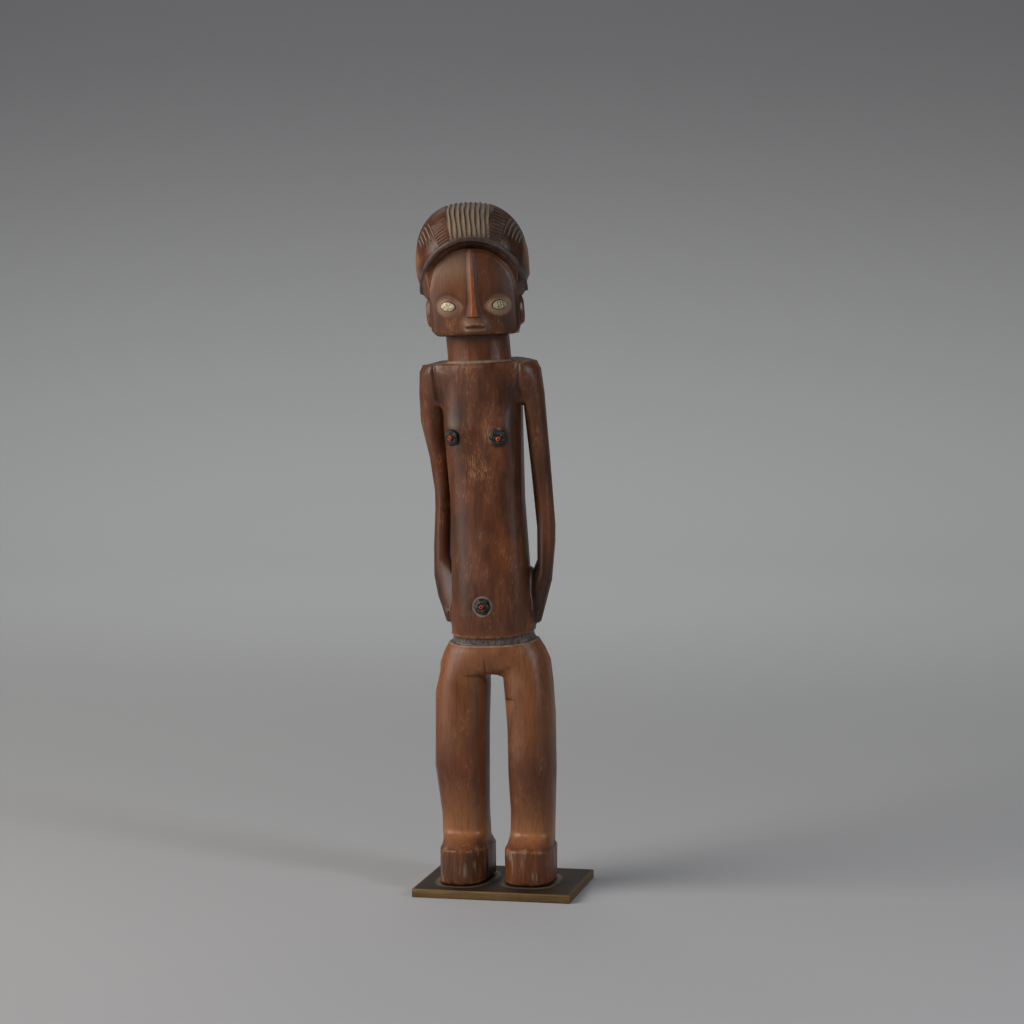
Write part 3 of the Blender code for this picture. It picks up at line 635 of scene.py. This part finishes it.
def markWood(figure, upright, fine, headMarks, level, channel, fingers, marks):
    # where the wood is pale, worn, grimy, dusty or scratched, and where shade and highlights are
    # painted into its colour, for its material
    x, y, z = upright.T
    grooves, dark, disc, ridge, edge, lined = headMarks
    wide, front = np.abs(x), ramp(-6, -22, y)
    # hollows and crests count on the feet, the head and the belt alone
    fine = fine * np.maximum.reduce([
        1 - ramp(58, 66, z), ramp(800, 808, z) * (1 - 0.7 * disc), between(352, 371, 3, z),
    ])
    arch = np.hypot(x, z - hair["archCentre"])
    drift = lumps(upright * [1, 1, 0.5], 38, 3, 4)
    flecks = lumps(upright * [1, 1, 0.35], 9, 3, 9)
    seatGap = np.min([np.hypot(x - place[0], z - place[1]) for place in body["seats"]], axis=0)
    seatGap += 200 * (y > 0)
    navelGap = np.where(z < 500, seatGap, 200)

    tone = np.interp(z, *zip(*woodLook["toneByHeight"]))
    arm = ramp(60, 66, wide) * between(440, 740, 20, z)
    patch = between(246, 269, 3, z) * between(17, 34, 3, x) * front
    # painted shade: the right side of the head's front is darker
    tone -= 0.3 * ramp(0, 45, x) * ramp(-20, -40, y) * (z > 806)
    tone += 0.22 * drift + 0.25 * arm + 0.3 * patch
    keepValues(figure, "tone", tone.clip(0, 1))

    # the foot's top front edge: rubbed pale, with a painted highlight
    footTop = np.exp(-((z - body["footEdge"]) / 1.3) ** 2) * ramp(-44, -50, y)
    footTop *= ramp(-0.2, 0.5, flecks)
    fold = np.exp(-((z - body["instep"]) / 3.5) ** 2) * ramp(-10, -26, y)
    shoulder = np.exp(-((z - 764) / 3) ** 2) * ramp(48, 60, wide) * ramp(-0.1, 0.5, flecks)
    # pale wear on crests and edges, with painted highlights on the face's upper edge and the feet's
    # top edges
    wearAndHighlight = np.maximum.reduce([
        (-fine - 0.35).clip(0, 0.7) * ramp(-0.4, 0.4, flecks) * (1 - 0.85 * lined),
        0.9 * edge, 0.55 * disc, 0.8 * footTop, 0.6 * fold, 0.7 * shoulder,
    ])
    keepValues(figure, "wearAndHighlight", wearAndHighlight.clip(0, 1))
    # painted highlight: orange on the lit left side of the nose ridge
    keepValues(figure, "ember", (ridge * ramp(3, -1, x)).clip(0, 1))

    rim = between(hair["rim"] - 3.4, hair["rim"] + 4.6, 0.8, arch) * (y < -20) * ramp(846, 850, z)
    seam = np.exp(-((arch - hair["rim"] - 5.2) / 1.1) ** 2) * (y < -20) * ramp(866, 872, z)
    # painted shade in the recess between the rim and the face, stronger on its right
    well = between(face["halfWidth"] + 0.5, hair["rim"] - 3.5, 1.0, arch) * (y < 0)
    well *= ramp(846, 850, z) * (0.15 + 0.5 * ramp(-20, 30, x))
    shadeSide = 0.35 * ramp(4, 40, x) * ramp(-20, -45, y) * between(822, 925, 12, z) * (1 - disc)
    hand = between(376, 462, 26, z) * ramp(58, 66, wide)
    # painted shade on the web between each forearm and the body
    web = between(372, 468, 6, z) * between(56, 72, 2, wide) * ramp(-10, -2, y)
    # painted shade under the jaw
    jawUnder = (1 - ramp(805.5, 808, z)) * ramp(796, 802, z) * (np.hypot(x, y) > 50)
    # real grime and stains together with painted shade: the recess, the webs, under the jaw, the
    # face's right side, the brows, the mouth's parting and the furrows; darker in the finger gaps
    # and cuts
    grimeAndShade = np.maximum.reduce([
        (fine - 0.25).clip(0, 0.8), 0.35 * rim, 0.8 * seam, well, dark, 0.3 * lined * (1 - grooves),
        shadeSide, hand * (0.75 + 0.3 * flecks), fingers, marks, 0.9 * web, 0.6 * jawUnder,
        0.8 * (1 - ramp(body["seatRadius"], body["seatRadius"] + 4, seatGap + 2 * flecks)),
    ])
    keepValues(figure, "grimeAndShade", grimeAndShade.clip(0, 1))
    keepValues(figure, "channel", np.maximum(channel, 0.7 * rim).clip(0, 1))
    keepValues(figure, "grooves", grooves.clip(0, 1))

    neckLine = np.exp(-((z - body["neckFoot"] - 4 * (y > 0)) / 1.7) ** 2) * (np.hypot(x, y) < 60)
    neckLine *= 0.9 + 0.3 * flecks
    beltLine = np.exp(-((level - body["beltLow"] + 1.2) / 1.1) ** 2) * (wide < 90)
    beltLine *= 0.65 + 0.6 * flecks
    rimLine = 0.55 * np.exp(-((arch - hair["rim"] - 3.2) / 1.1) ** 2) * (y < -30)
    rimLine *= ramp(872, 900, z) * (0.7 + 0.5 * flecks)
    ring = np.exp(-((navelGap - body["seatRadius"] - 2.6) / 1.5) ** 2) * (0.9 + 0.5 * flecks)
    collar = 0.6 * np.exp(-((seatGap - body["seatRadius"] - 2.5) / 2) ** 2) * ramp(0.1, 0.5, flecks)
    # painted highlights: a sheen on the upper slope of each breast, stronger on the left
    sheen = 0.75 * np.exp(-((x + 36) / 9) ** 2 - ((z - 682) / 11) ** 2) * front
    sheen += 0.25 * np.exp(-((x - 26) / 9) ** 2 - ((z - 684) / 11) ** 2) * front
    onFace = (y < -45) * (z > 806) * (arch < face["halfWidth"])
    # dust on the face, with a painted sheen on the upper left of the forehead
    powder = (0.3 * ramp(870, 915, z) * ramp(15, -15, x) + 0.1) * onFace
    powder += 0.35 * disc + 0.25 * ramp(0.15, 0.6, flecks) * (z < 58)
    dustAndSheen = np.maximum.reduce([neckLine, beltLine, rimLine, ring, collar, sheen, powder])
    keepValues(figure, "dustAndSheen", dustAndSheen.clip(0, 1))
    scuff = between(6, 52, 6, z) * front * ramp(-0.15, 0.35, flecks)
    keepValues(figure, "scuff", scuff.clip(0, 1))


def buildFigure(material):
    figure = copyNode("figure", "carvedFigure")
    applyModifier(
        figure, "REMESH", mode="VOXEL", voxel_size=carving["pointSpacing"], use_smooth_shade=True,
    )
    print("figure remeshed", len(figure.data.polygons))
    softenFigure(figure)
    print("figure softened")
    thinFigure(figure)
    print("figure thinned", len(figure.data.polygons))
    points, normals, edges = readPoints(figure), readNormals(figure), readEdges(figure)
    # slow swells and knife marks
    swell = lumps(points * [1, 1, 0.45], 10 * mm, 2) * carving["swell"]
    swell += lumps(points * [1, 1, 0.5], 4 * mm, 2, 7) * carving["knifeMarks"]
    points = points + normals * swell[:, None]
    upright, headMarks = carveHead(uprightAt(points))
    upright, level, channel, fingers, marks = carveBody(upright, normals)
    points = poseAt(upright).clip(np.array(cadBox[0]), np.array(cadBox[1]))
    writePoints(figure, points)
    fine = hollowAndEdge(points, readNormals(figure), edges, 6) / (0.1 * mm)
    markWood(figure, upright, fine, headMarks, level, channel, fingers, marks)
    figure.data.shade_smooth()
    settle(figure, "figure", material)
    return figure


# The figure's wood

woodLook = {
    "deepBrown": "#321a0c", "redBrown": "#562e16", "tan": "#844f31", "ember": "#914a22",
    "paleOrange": "#a46f45", "nearBlack": "#191210", "blueGrey": "#38373b", "dustAndSheen": "#978c79",
    "grooveDust": "#938873",
    # height and how pale the wood is there
    "toneByHeight": (
        (0, 0.5), (52, 0.5), (70, 1.0), (100, 0.72), (150, 0.45), (220, 0.62), (300, 0.72),
        (350, 0.72), (385, 0.35), (500, 0.2), (600, 0.1), (720, 0.12), (765, 0.4), (800, 0.45),
        (900, 0.55), (940, 0.3), (1000, 0.25),
    ),
}


def carvedHardwood():
    # Oiled and handled tropical hardwood: satin, streaked along the grain, dusty in its cuts
    material, tree, shader = newMaterial("oiledHardwood", IOR=1.45)
    place = addNode(tree, "TexCoord").outputs["Object"]
    noises = {}
    for name, across, along, detail, roughness in (
        # widths and lengths in mm; vessels are finer than this and are drawn coarser to show
        ("grain", 1.2, 15, 5, 0.6), ("bands", 6, 60, 3, 0.5), ("mottle", 13, 26, 5, 0.6),
        ("vessels", 0.7, 3.6, 2, 0.7), ("glow", 24, 40, 3, 0.5), ("scratches", 1.1, 9, 2, 0.6),
    ):
        scale = (1 / (across * mm), 1 / (across * mm), 1 / (along * mm))
        mapped = addNode(tree, "Mapping", {"Scale": scale}, {0: place})
        noises[name] = addNode(
            tree, "TexNoise", {"Scale": 1, "Detail": detail, "Roughness": roughness},
            {"Vector": mapped.outputs[0]},
        ).outputs[0]
    marks = {
        name: addNode(tree, "Attribute", {"attribute_name": name}).outputs["Fac"]
        for name in ("tone", "wearAndHighlight", "ember", "grimeAndShade", "channel", "grooves", "dustAndSheen", "scuff")
    }
    scratched, pitted, streaked = (
        addNode(tree, "Math", {"operation": "MULTIPLY"}, {0: pattern, 1: limit}).outputs[0]
        for pattern, limit in (
            (noises["scratches"], marks["scuff"]), (noises["vessels"], noises["mottle"]),
            (noises["vessels"], marks["channel"]),
        )
    )
    layers = (
        # what drives the layer, where it starts and is full, how strong it is, its colour
        (noises["mottle"], 0.34, 0.66, 0.9, "redBrown"), (marks["tone"], 0.1, 1.0, 0.8, "tan"),
        (marks["tone"], 0.55, 1.0, 0.6, "paleOrange"), (noises["glow"], 0.52, 0.75, 0.4, "ember"),
        (noises["bands"], 0.45, 0.75, 0.3, "tan"), (noises["grain"], 0.52, 0.32, 0.42, "deepBrown"),
        (noises["grain"], 0.57, 0.76, 0.45, "tan"), (pitted, 0.32, 0.44, 0.65, "paleOrange"),
        # pale orange over wear and painted highlights; ember over the nose's painted highlight
        (marks["wearAndHighlight"], 0.0, 1.0, 0.8, "paleOrange"), (marks["ember"], 0.1, 0.9, 0.75, "ember"),
        # near black over grime and painted shade
        (marks["grimeAndShade"], 0.0, 1.0, 0.88, "nearBlack"),
        (marks["channel"], 0.2, 0.9, 0.85, "blueGrey"), (streaked, 0.42, 0.7, 0.5, "dustAndSheen"),
        # dust in the grooves, then dust with painted sheen
        (marks["grooves"], 0.3, 0.7, 0.9, "grooveDust"), (marks["dustAndSheen"], 0.1, 1.0, 0.75, "dustAndSheen"),
        (scratched, 0.45, 0.62, 0.55, "dustAndSheen"),
    )
    color = None
    for source, start, full, strength, tint in layers:
        share = addNode(
            tree, "MapRange", {"From Min": start, "From Max": full, "To Max": strength},
            {0: source},
        )
        mixed = addNode(
            tree, "Mix",
            {"data_type": "RGBA", 6: hexColor(woodLook["deepBrown"]), 7: hexColor(woodLook[tint])},
            {0: share.outputs[0]} | ({6: color} if color else {}),
        )
        color = mixed.outputs[2]
    tree.links.new(color, shader.inputs["Base Color"])
    # satin where it was handled, duller in patches and in dust
    satin = addNode(
        tree, "MapRange", {"From Min": 0.25, "From Max": 0.75, "To Min": 0.28, "To Max": 0.5},
        {0: noises["mottle"]},
    )
    dull = addNode(tree, "Math", {"operation": "MAXIMUM"}, {0: marks["dustAndSheen"], 1: marks["grooves"]})
    rough = addNode(tree, "Mix", {3: 0.85}, {0: dull.outputs[0], 2: satin.outputs[0]})
    tree.links.new(rough.outputs[0], shader.inputs["Roughness"])
    bump = addNode(
        tree, "Bump", {"Strength": 0.45, "Distance": 0.15 * mm}, {"Height": noises["grain"]},
    )
    tree.links.new(bump.outputs[0], shader.inputs["Normal"])
    return material


figure = buildFigure(carvedHardwood())


# Resin, glass and shell

def nodeFrame(nodeName):
    # a small node's middle, its long, wide and outward directions, and its half sizes along them
    points = readPoints(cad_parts[nodeName])
    low, high = points.min(axis=0), points.max(axis=0)
    middle = (low + high) / 2
    turns = np.linalg.svd(points - points.mean(axis=0), full_matrices=False)[2]
    out = turns[2] * (-1 if turns[2][1] > 0 else 1)
    long = turns[0] * (-1 if turns[0][0] < 0 else 1)
    wide = np.cross(out, long)
    axes = np.stack([long, wide, out])
    local = (points - middle) @ axes.T
    middle = middle + (local.min(axis=0) + local.max(axis=0)) / 2 @ axes
    return middle, axes, (local.max(axis=0) - local.min(axis=0)) / 2


def placeIn(piece, middle, axes):
    writePoints(piece, readPoints(piece) @ axes + middle)


resin = {
    # each lump's node, outline swell, height and noise offset
    "lumps": {
        "resinBreastLeft": ("resin_breast_left", 1.03, 1.0, 3),
        "resinBreastRight": ("resin_breast_right", 1.1, 0.95, 11),
        "resinNavel": ("resin_navel", 1.0, 1.1, 23),
    },
    "ragged": 0.34, "raggedSize": 0.7, "pitSize": 1.3 * mm, "pitDepth": 0.6 * mm,
    # the dent that the bead sits in
    "dentDepth": 0.9 * mm, "dentEdge": (1.1 * mm, 2.2 * mm),
    "pitch": "#110e0d", "caughtDust": "#4d483e",
}


def buildResin(pieceName, nodeName, swell, rise, seed, material):
    middle, axes, half = nodeFrame(nodeName)
    deselectAll()
    bpy.ops.mesh.primitive_uv_sphere_add(segments=56, ring_count=28, radius=1)
    piece = bpy.context.object
    piece.name = piece.data.name = pieceName
    points = readPoints(piece)
    spin = np.arctan2(points[:, 1], points[:, 0])
    flat = np.hypot(points[:, 0], points[:, 1])
    around = np.stack([np.cos(spin), np.sin(spin), points[:, 2] * 0.3], axis=1)
    ragged = 1 + resin["ragged"] * lumps(around, resin["raggedSize"], 3, seed)
    # fuller than a ball at its edge and its top
    outline = flat ** 0.75 * ragged * swell
    top = np.sign(points[:, 2]) * np.abs(points[:, 2]) ** 0.8
    points = np.stack([
        np.cos(spin) * outline * half[0], np.sin(spin) * outline * half[0],
        top * half[2] * (1 + 0.25 * (rise - 1)),
    ], axis=1)
    pits = lumps(points, resin["pitSize"], 3, seed) * resin["pitDepth"]
    points[:, 2] += pits * (points[:, 2] > 0)
    dent = 1 - ramp(*resin["dentEdge"], np.hypot(points[:, 0], points[:, 1]))
    points[:, 2] -= resin["dentDepth"] * dent * (points[:, 2] > 0)
    writePoints(piece, points)
    placeIn(piece, middle, axes)
    piece.data.shade_smooth()
    settle(piece, nodeName, material)


bead = {
    "nodes": {
        "beadBreastLeft": "bead_breast_left", "beadBreastRight": "bead_breast_right",
        "beadNavel": "bead_navel",
    },
    "hole": 0.3 * mm, "stretch": 1.4, "wider": 1.08, "prouder": 1.25, "red": "#9c2f1c",
    "clouding": "#d8623f",
}


def buildBead(pieceName, nodeName, material):
    middle, axes, half = nodeFrame(nodeName)
    outer = bead["wider"] * half[0]
    ring, tube = (outer + bead["hole"]) / 2, (outer - bead["hole"]) / 2
    deselectAll()
    bpy.ops.mesh.primitive_torus_add(
        major_segments=36, minor_segments=16, major_radius=ring, minor_radius=tube,
    )
    piece = bpy.context.object
    piece.name = piece.data.name = pieceName
    points = readPoints(piece)
    points[:, 0] *= bead["stretch"]
    points[:, 2] *= bead["prouder"] * half[2] / tube
    writePoints(piece, points)
    # the thin direction of a bead may be its bore or its side, so it lies as its resin does
    placeIn(piece, middle, nodeFrame(nodeName.replace("bead", "resin"))[1])
    piece.data.shade_smooth()
    settle(piece, nodeName, material)


shell = {
    # each shell's node, ribs, noise offset, and its material's name, pale and dull colour
    "pieces": {
        "shellEyeLeft": ("eye_inlay_left", 0, 5, "ivoryShell", "#e4dbc2", "#9c8658"),
        "shellEyeRight": ("eye_inlay_right", 3, 17, "yellowedShell", "#b0a685", "#6f664a"),
    },
    "bumpSize": 1.5 * mm, "bumpDepth": 0.14 * mm,
    "ribSpacing": 1.5 * mm, "ribShift": 0.5 * mm, "ribWidth": 0.22 * mm, "ribDepth": 0.25 * mm,
    "ribDust": "#4b4434",
}


def buildShell(pieceName, nodeName, ribs, seed, material):
    middle, axes, half = nodeFrame(nodeName)
    deselectAll()
    bpy.ops.mesh.primitive_uv_sphere_add(segments=64, ring_count=40, radius=1)
    piece = bpy.context.object
    piece.name = piece.data.name = pieceName
    points = readPoints(piece)
    points[:, 2] = np.sign(points[:, 2]) * np.abs(points[:, 2]) ** 0.7
    points = points * half
    points[:, 2] += lumps(points, shell["bumpSize"], 2, seed) * shell["bumpDepth"]
    cuts = np.zeros(len(points))
    for rib in range(ribs):
        at = (rib - (ribs - 1) / 2) * shell["ribSpacing"] + shell["ribShift"]
        gap = points[:, 0] - at + 0.1 * points[:, 1]
        cuts = np.maximum(cuts, np.exp(-(gap / shell["ribWidth"]) ** 2))
    cuts *= (points[:, 2] > 0) * (1 - ramp(0.6, 0.9, np.abs(points[:, 1]) / half[1]))
    points[:, 2] -= cuts * shell["ribDepth"]
    keepValues(piece, "grooves", cuts)
    writePoints(piece, points)
    placeIn(piece, middle, axes)
    piece.data.shade_smooth()
    settle(piece, nodeName, material)


def shellMaterial(name, tone, shade):
    # Worn river shell: chalky ivory with a dull gloss, yellowed and dusty in its hollows
    material, tree, shader = newMaterial(name, Roughness=0.38, IOR=1.53)
    place = addNode(tree, "TexCoord").outputs["Object"]
    cloud = addNode(tree, "TexNoise", {"Scale": 1 / (1.4 * mm), "Detail": 4}, {"Vector": place})
    share = addNode(tree, "MapRange", {"From Min": 0.35, "From Max": 0.62}, {0: cloud.outputs[0]})
    color = addNode(
        tree, "Mix", {"data_type": "RGBA", 6: hexColor(shade), 7: hexColor(tone)},
        {0: share.outputs[0]},
    )
    groove = addNode(tree, "Attribute", {"attribute_name": "grooves"})
    lined = addNode(
        tree, "Mix", {"data_type": "RGBA", 7: hexColor(shell["ribDust"])},
        {0: groove.outputs["Fac"], 6: color.outputs[2]},
    )
    tree.links.new(lined.outputs[2], shader.inputs["Base Color"])
    bump = addNode(
        tree, "Bump", {"Strength": 0.4, "Distance": 0.1 * mm}, {"Height": cloud.outputs[0]},
    )
    tree.links.new(bump.outputs[0], shader.inputs["Normal"])
    return material


def resinMaterial():
    # Black tree resin: pitch-like, rough and pitted, with dust caught on it
    material, tree, shader = newMaterial("blackTreeResin", Roughness=0.5, IOR=1.54)
    place = addNode(tree, "TexCoord").outputs["Object"]
    grit = addNode(
        tree, "TexNoise", {"Scale": 1 / (0.7 * mm), "Detail": 5, "Roughness": 0.65},
        {"Vector": place},
    )
    share = addNode(tree, "MapRange", {"From Min": 0.52, "From Max": 0.75}, {0: grit.outputs[0]})
    color = addNode(
        tree, "Mix",
        {"data_type": "RGBA", 6: hexColor(resin["pitch"]), 7: hexColor(resin["caughtDust"])},
        {0: share.outputs[0]},
    )
    tree.links.new(color.outputs[2], shader.inputs["Base Color"])
    bump = addNode(
        tree, "Bump", {"Strength": 0.8, "Distance": 0.3 * mm}, {"Height": grit.outputs[0]},
    )
    tree.links.new(bump.outputs[0], shader.inputs["Normal"])
    return material


def beadMaterial():
    # Opaque red trade glass: drawn tube, tumbled, so glossy with faint clouding
    material, tree, shader = newMaterial("redBeadGlass", Roughness=0.18, IOR=1.52)
    place = addNode(tree, "TexCoord").outputs["Object"]
    cloud = addNode(tree, "TexNoise", {"Scale": 1 / (0.8 * mm), "Detail": 3}, {"Vector": place})
    color = addNode(
        tree, "Mix", {"data_type": "RGBA", 6: hexColor(bead["red"]), 7: hexColor(bead["clouding"])},
        {0: cloud.outputs[0]},
    )
    tree.links.new(color.outputs[2], shader.inputs["Base Color"])
    return material


treeResin = resinMaterial()
for pieceName, (nodeName, swell, rise, seed) in resin["lumps"].items():
    buildResin(pieceName, nodeName, swell, rise, seed, treeResin)
glass = beadMaterial()
for pieceName, nodeName in bead["nodes"].items():
    buildBead(pieceName, nodeName, glass)
for pieceName, (nodeName, ribs, seed, *look) in shell["pieces"].items():
    buildShell(pieceName, nodeName, ribs, seed, shellMaterial(*look))


# Brass plate

plate = {
    "bevel": 0.7 * mm, "cells": 90, "soleHeight": 12 * mm,
    # the pale ring around the feet, and how far the rubbing reaches in from the edges
    "ringGap": 2.6 * mm, "ringWidth": 1.1 * mm, "rubbed": (0.3 * mm, 1.6 * mm),
    # the skins, the top's painted shade, rubbed gold and the ring's colour
    "darkSkin": "#443527", "paleSkin": "#66523c", "paintedTopShade": "#22170f", "rubbedGold": "#957443",
    "paleFootRing": "#8b7d68",
}


def buildPlate(material):
    low, high = (np.array(corner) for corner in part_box("base_plate"))
    deselectAll()
    bpy.ops.mesh.primitive_cube_add(size=1, location=(low + high) / 2, scale=high - low)
    piece = bpy.context.object
    piece.name = piece.data.name = "brassPlate"
    bpy.ops.object.transform_apply(location=True, rotation=True, scale=True)
    applyModifier(piece, "BEVEL", width=plate["bevel"], segments=3)
    selectFaces(piece, [side.normal.z > 0.99 for side in piece.data.polygons])
    bpy.ops.mesh.subdivide(number_cuts=plate["cells"])
    bpy.ops.object.mode_set(mode="OBJECT")
    points = readPoints(piece)
    soleFaces = [
        side.vertices[:] for side in figure.data.polygons if side.center.z < plate["soleHeight"]
    ]
    soles = BVHTree.FromPolygons([vertex.co for vertex in figure.data.vertices], soleFaces)
    gap = np.array([(soles.find_nearest(Vector(place))[3] or 1) for place in points])
    # a pale ring hugging each foot on the plate's top
    ring = np.exp(-((gap - plate["ringGap"]) / plate["ringWidth"]) ** 2)
    keepValues(piece, "halo", ring * (points[:, 2] > high[2] - 0.1 * mm))
    inset = np.minimum(points - low, high - points)
    inset.sort(axis=1)
    # the top, which gets painted shade
    keepValues(piece, "upper", ramp(0.4 * mm, 0, high[2] - points[:, 2]))
    keepValues(piece, "edge", 1 - ramp(*plate["rubbed"], inset[:, 1]))
    makeActive(piece)
    bpy.ops.object.shade_smooth_by_angle(angle=math.radians(30))
    settle(piece, "base_plate", material)


def patinatedBrass():
    # Chemically browned brass plate: dull dark skin, rubbed back to gold along its edges
    material, tree, shader = newMaterial("brownedBrass", Metallic=0.6)
    place = addNode(tree, "TexCoord").outputs["Object"]
    cloud = addNode(
        tree, "TexNoise", {"Scale": 1 / (11 * mm), "Detail": 6, "Roughness": 0.6},
        {"Vector": place},
    )
    scale = (1 / (22 * mm), 1 / (0.8 * mm), 1 / (0.8 * mm))
    streakMap = addNode(tree, "Mapping", {"Scale": scale}, {0: place})
    streaks = addNode(tree, "TexNoise", {"Scale": 1, "Detail": 3}, {"Vector": streakMap.outputs[0]})
    share = addNode(tree, "MapRange", {"From Min": 0.35, "From Max": 0.7}, {0: cloud.outputs[0]})
    patchy = addNode(
        tree, "Mix",
        {"data_type": "RGBA", 6: hexColor(plate["darkSkin"]), 7: hexColor(plate["paleSkin"])},
        {0: share.outputs[0]},
    )
    lined = addNode(
        tree, "Mix", {"data_type": "RGBA", "blend_type": "SOFT_LIGHT", 0: 0.5},
        {6: patchy.outputs[2], 7: streaks.outputs[0]},
    )
    upper, edge, halo = (
        addNode(tree, "Attribute", {"attribute_name": name}).outputs["Fac"]
        for name in ("upper", "edge", "halo")
    )
    shade = addNode(tree, "MapRange", {"To Max": 0.6}, {0: upper})
    rubbed = addNode(tree, "Math", {"operation": "MULTIPLY"}, {0: edge, 1: streaks.outputs[0]})
    paleShare = addNode(tree, "Math", {"operation": "MULTIPLY", 1: 0.8}, {0: halo})
    # painted shade darkens the top, rubbed to gold at the edges, a pale ring around the feet
    color = lined.outputs[2]
    for share, tint in ((shade, "paintedTopShade"), (rubbed, "rubbedGold"), (paleShare, "paleFootRing")):
        mixed = addNode(
            tree, "Mix", {"data_type": "RGBA", 7: hexColor(plate[tint])},
            {0: share.outputs[0], 6: color},
        )
        color = mixed.outputs[2]
    tree.links.new(color, shader.inputs["Base Color"])
    rough = addNode(tree, "MapRange", {"To Min": 0.45, "To Max": 0.7}, {0: cloud.outputs[0]})
    tree.links.new(rough.outputs[0], shader.inputs["Roughness"])
    bump = addNode(
        tree, "Bump", {"Strength": 0.25, "Distance": 0.05 * mm}, {"Height": streaks.outputs[0]},
    )
    tree.links.new(bump.outputs[0], shader.inputs["Normal"])
    return material


buildPlate(patinatedBrass())
bpy.context.scene.view_settings.view_transform = "Standard"
bpy.context.view_layer.update()
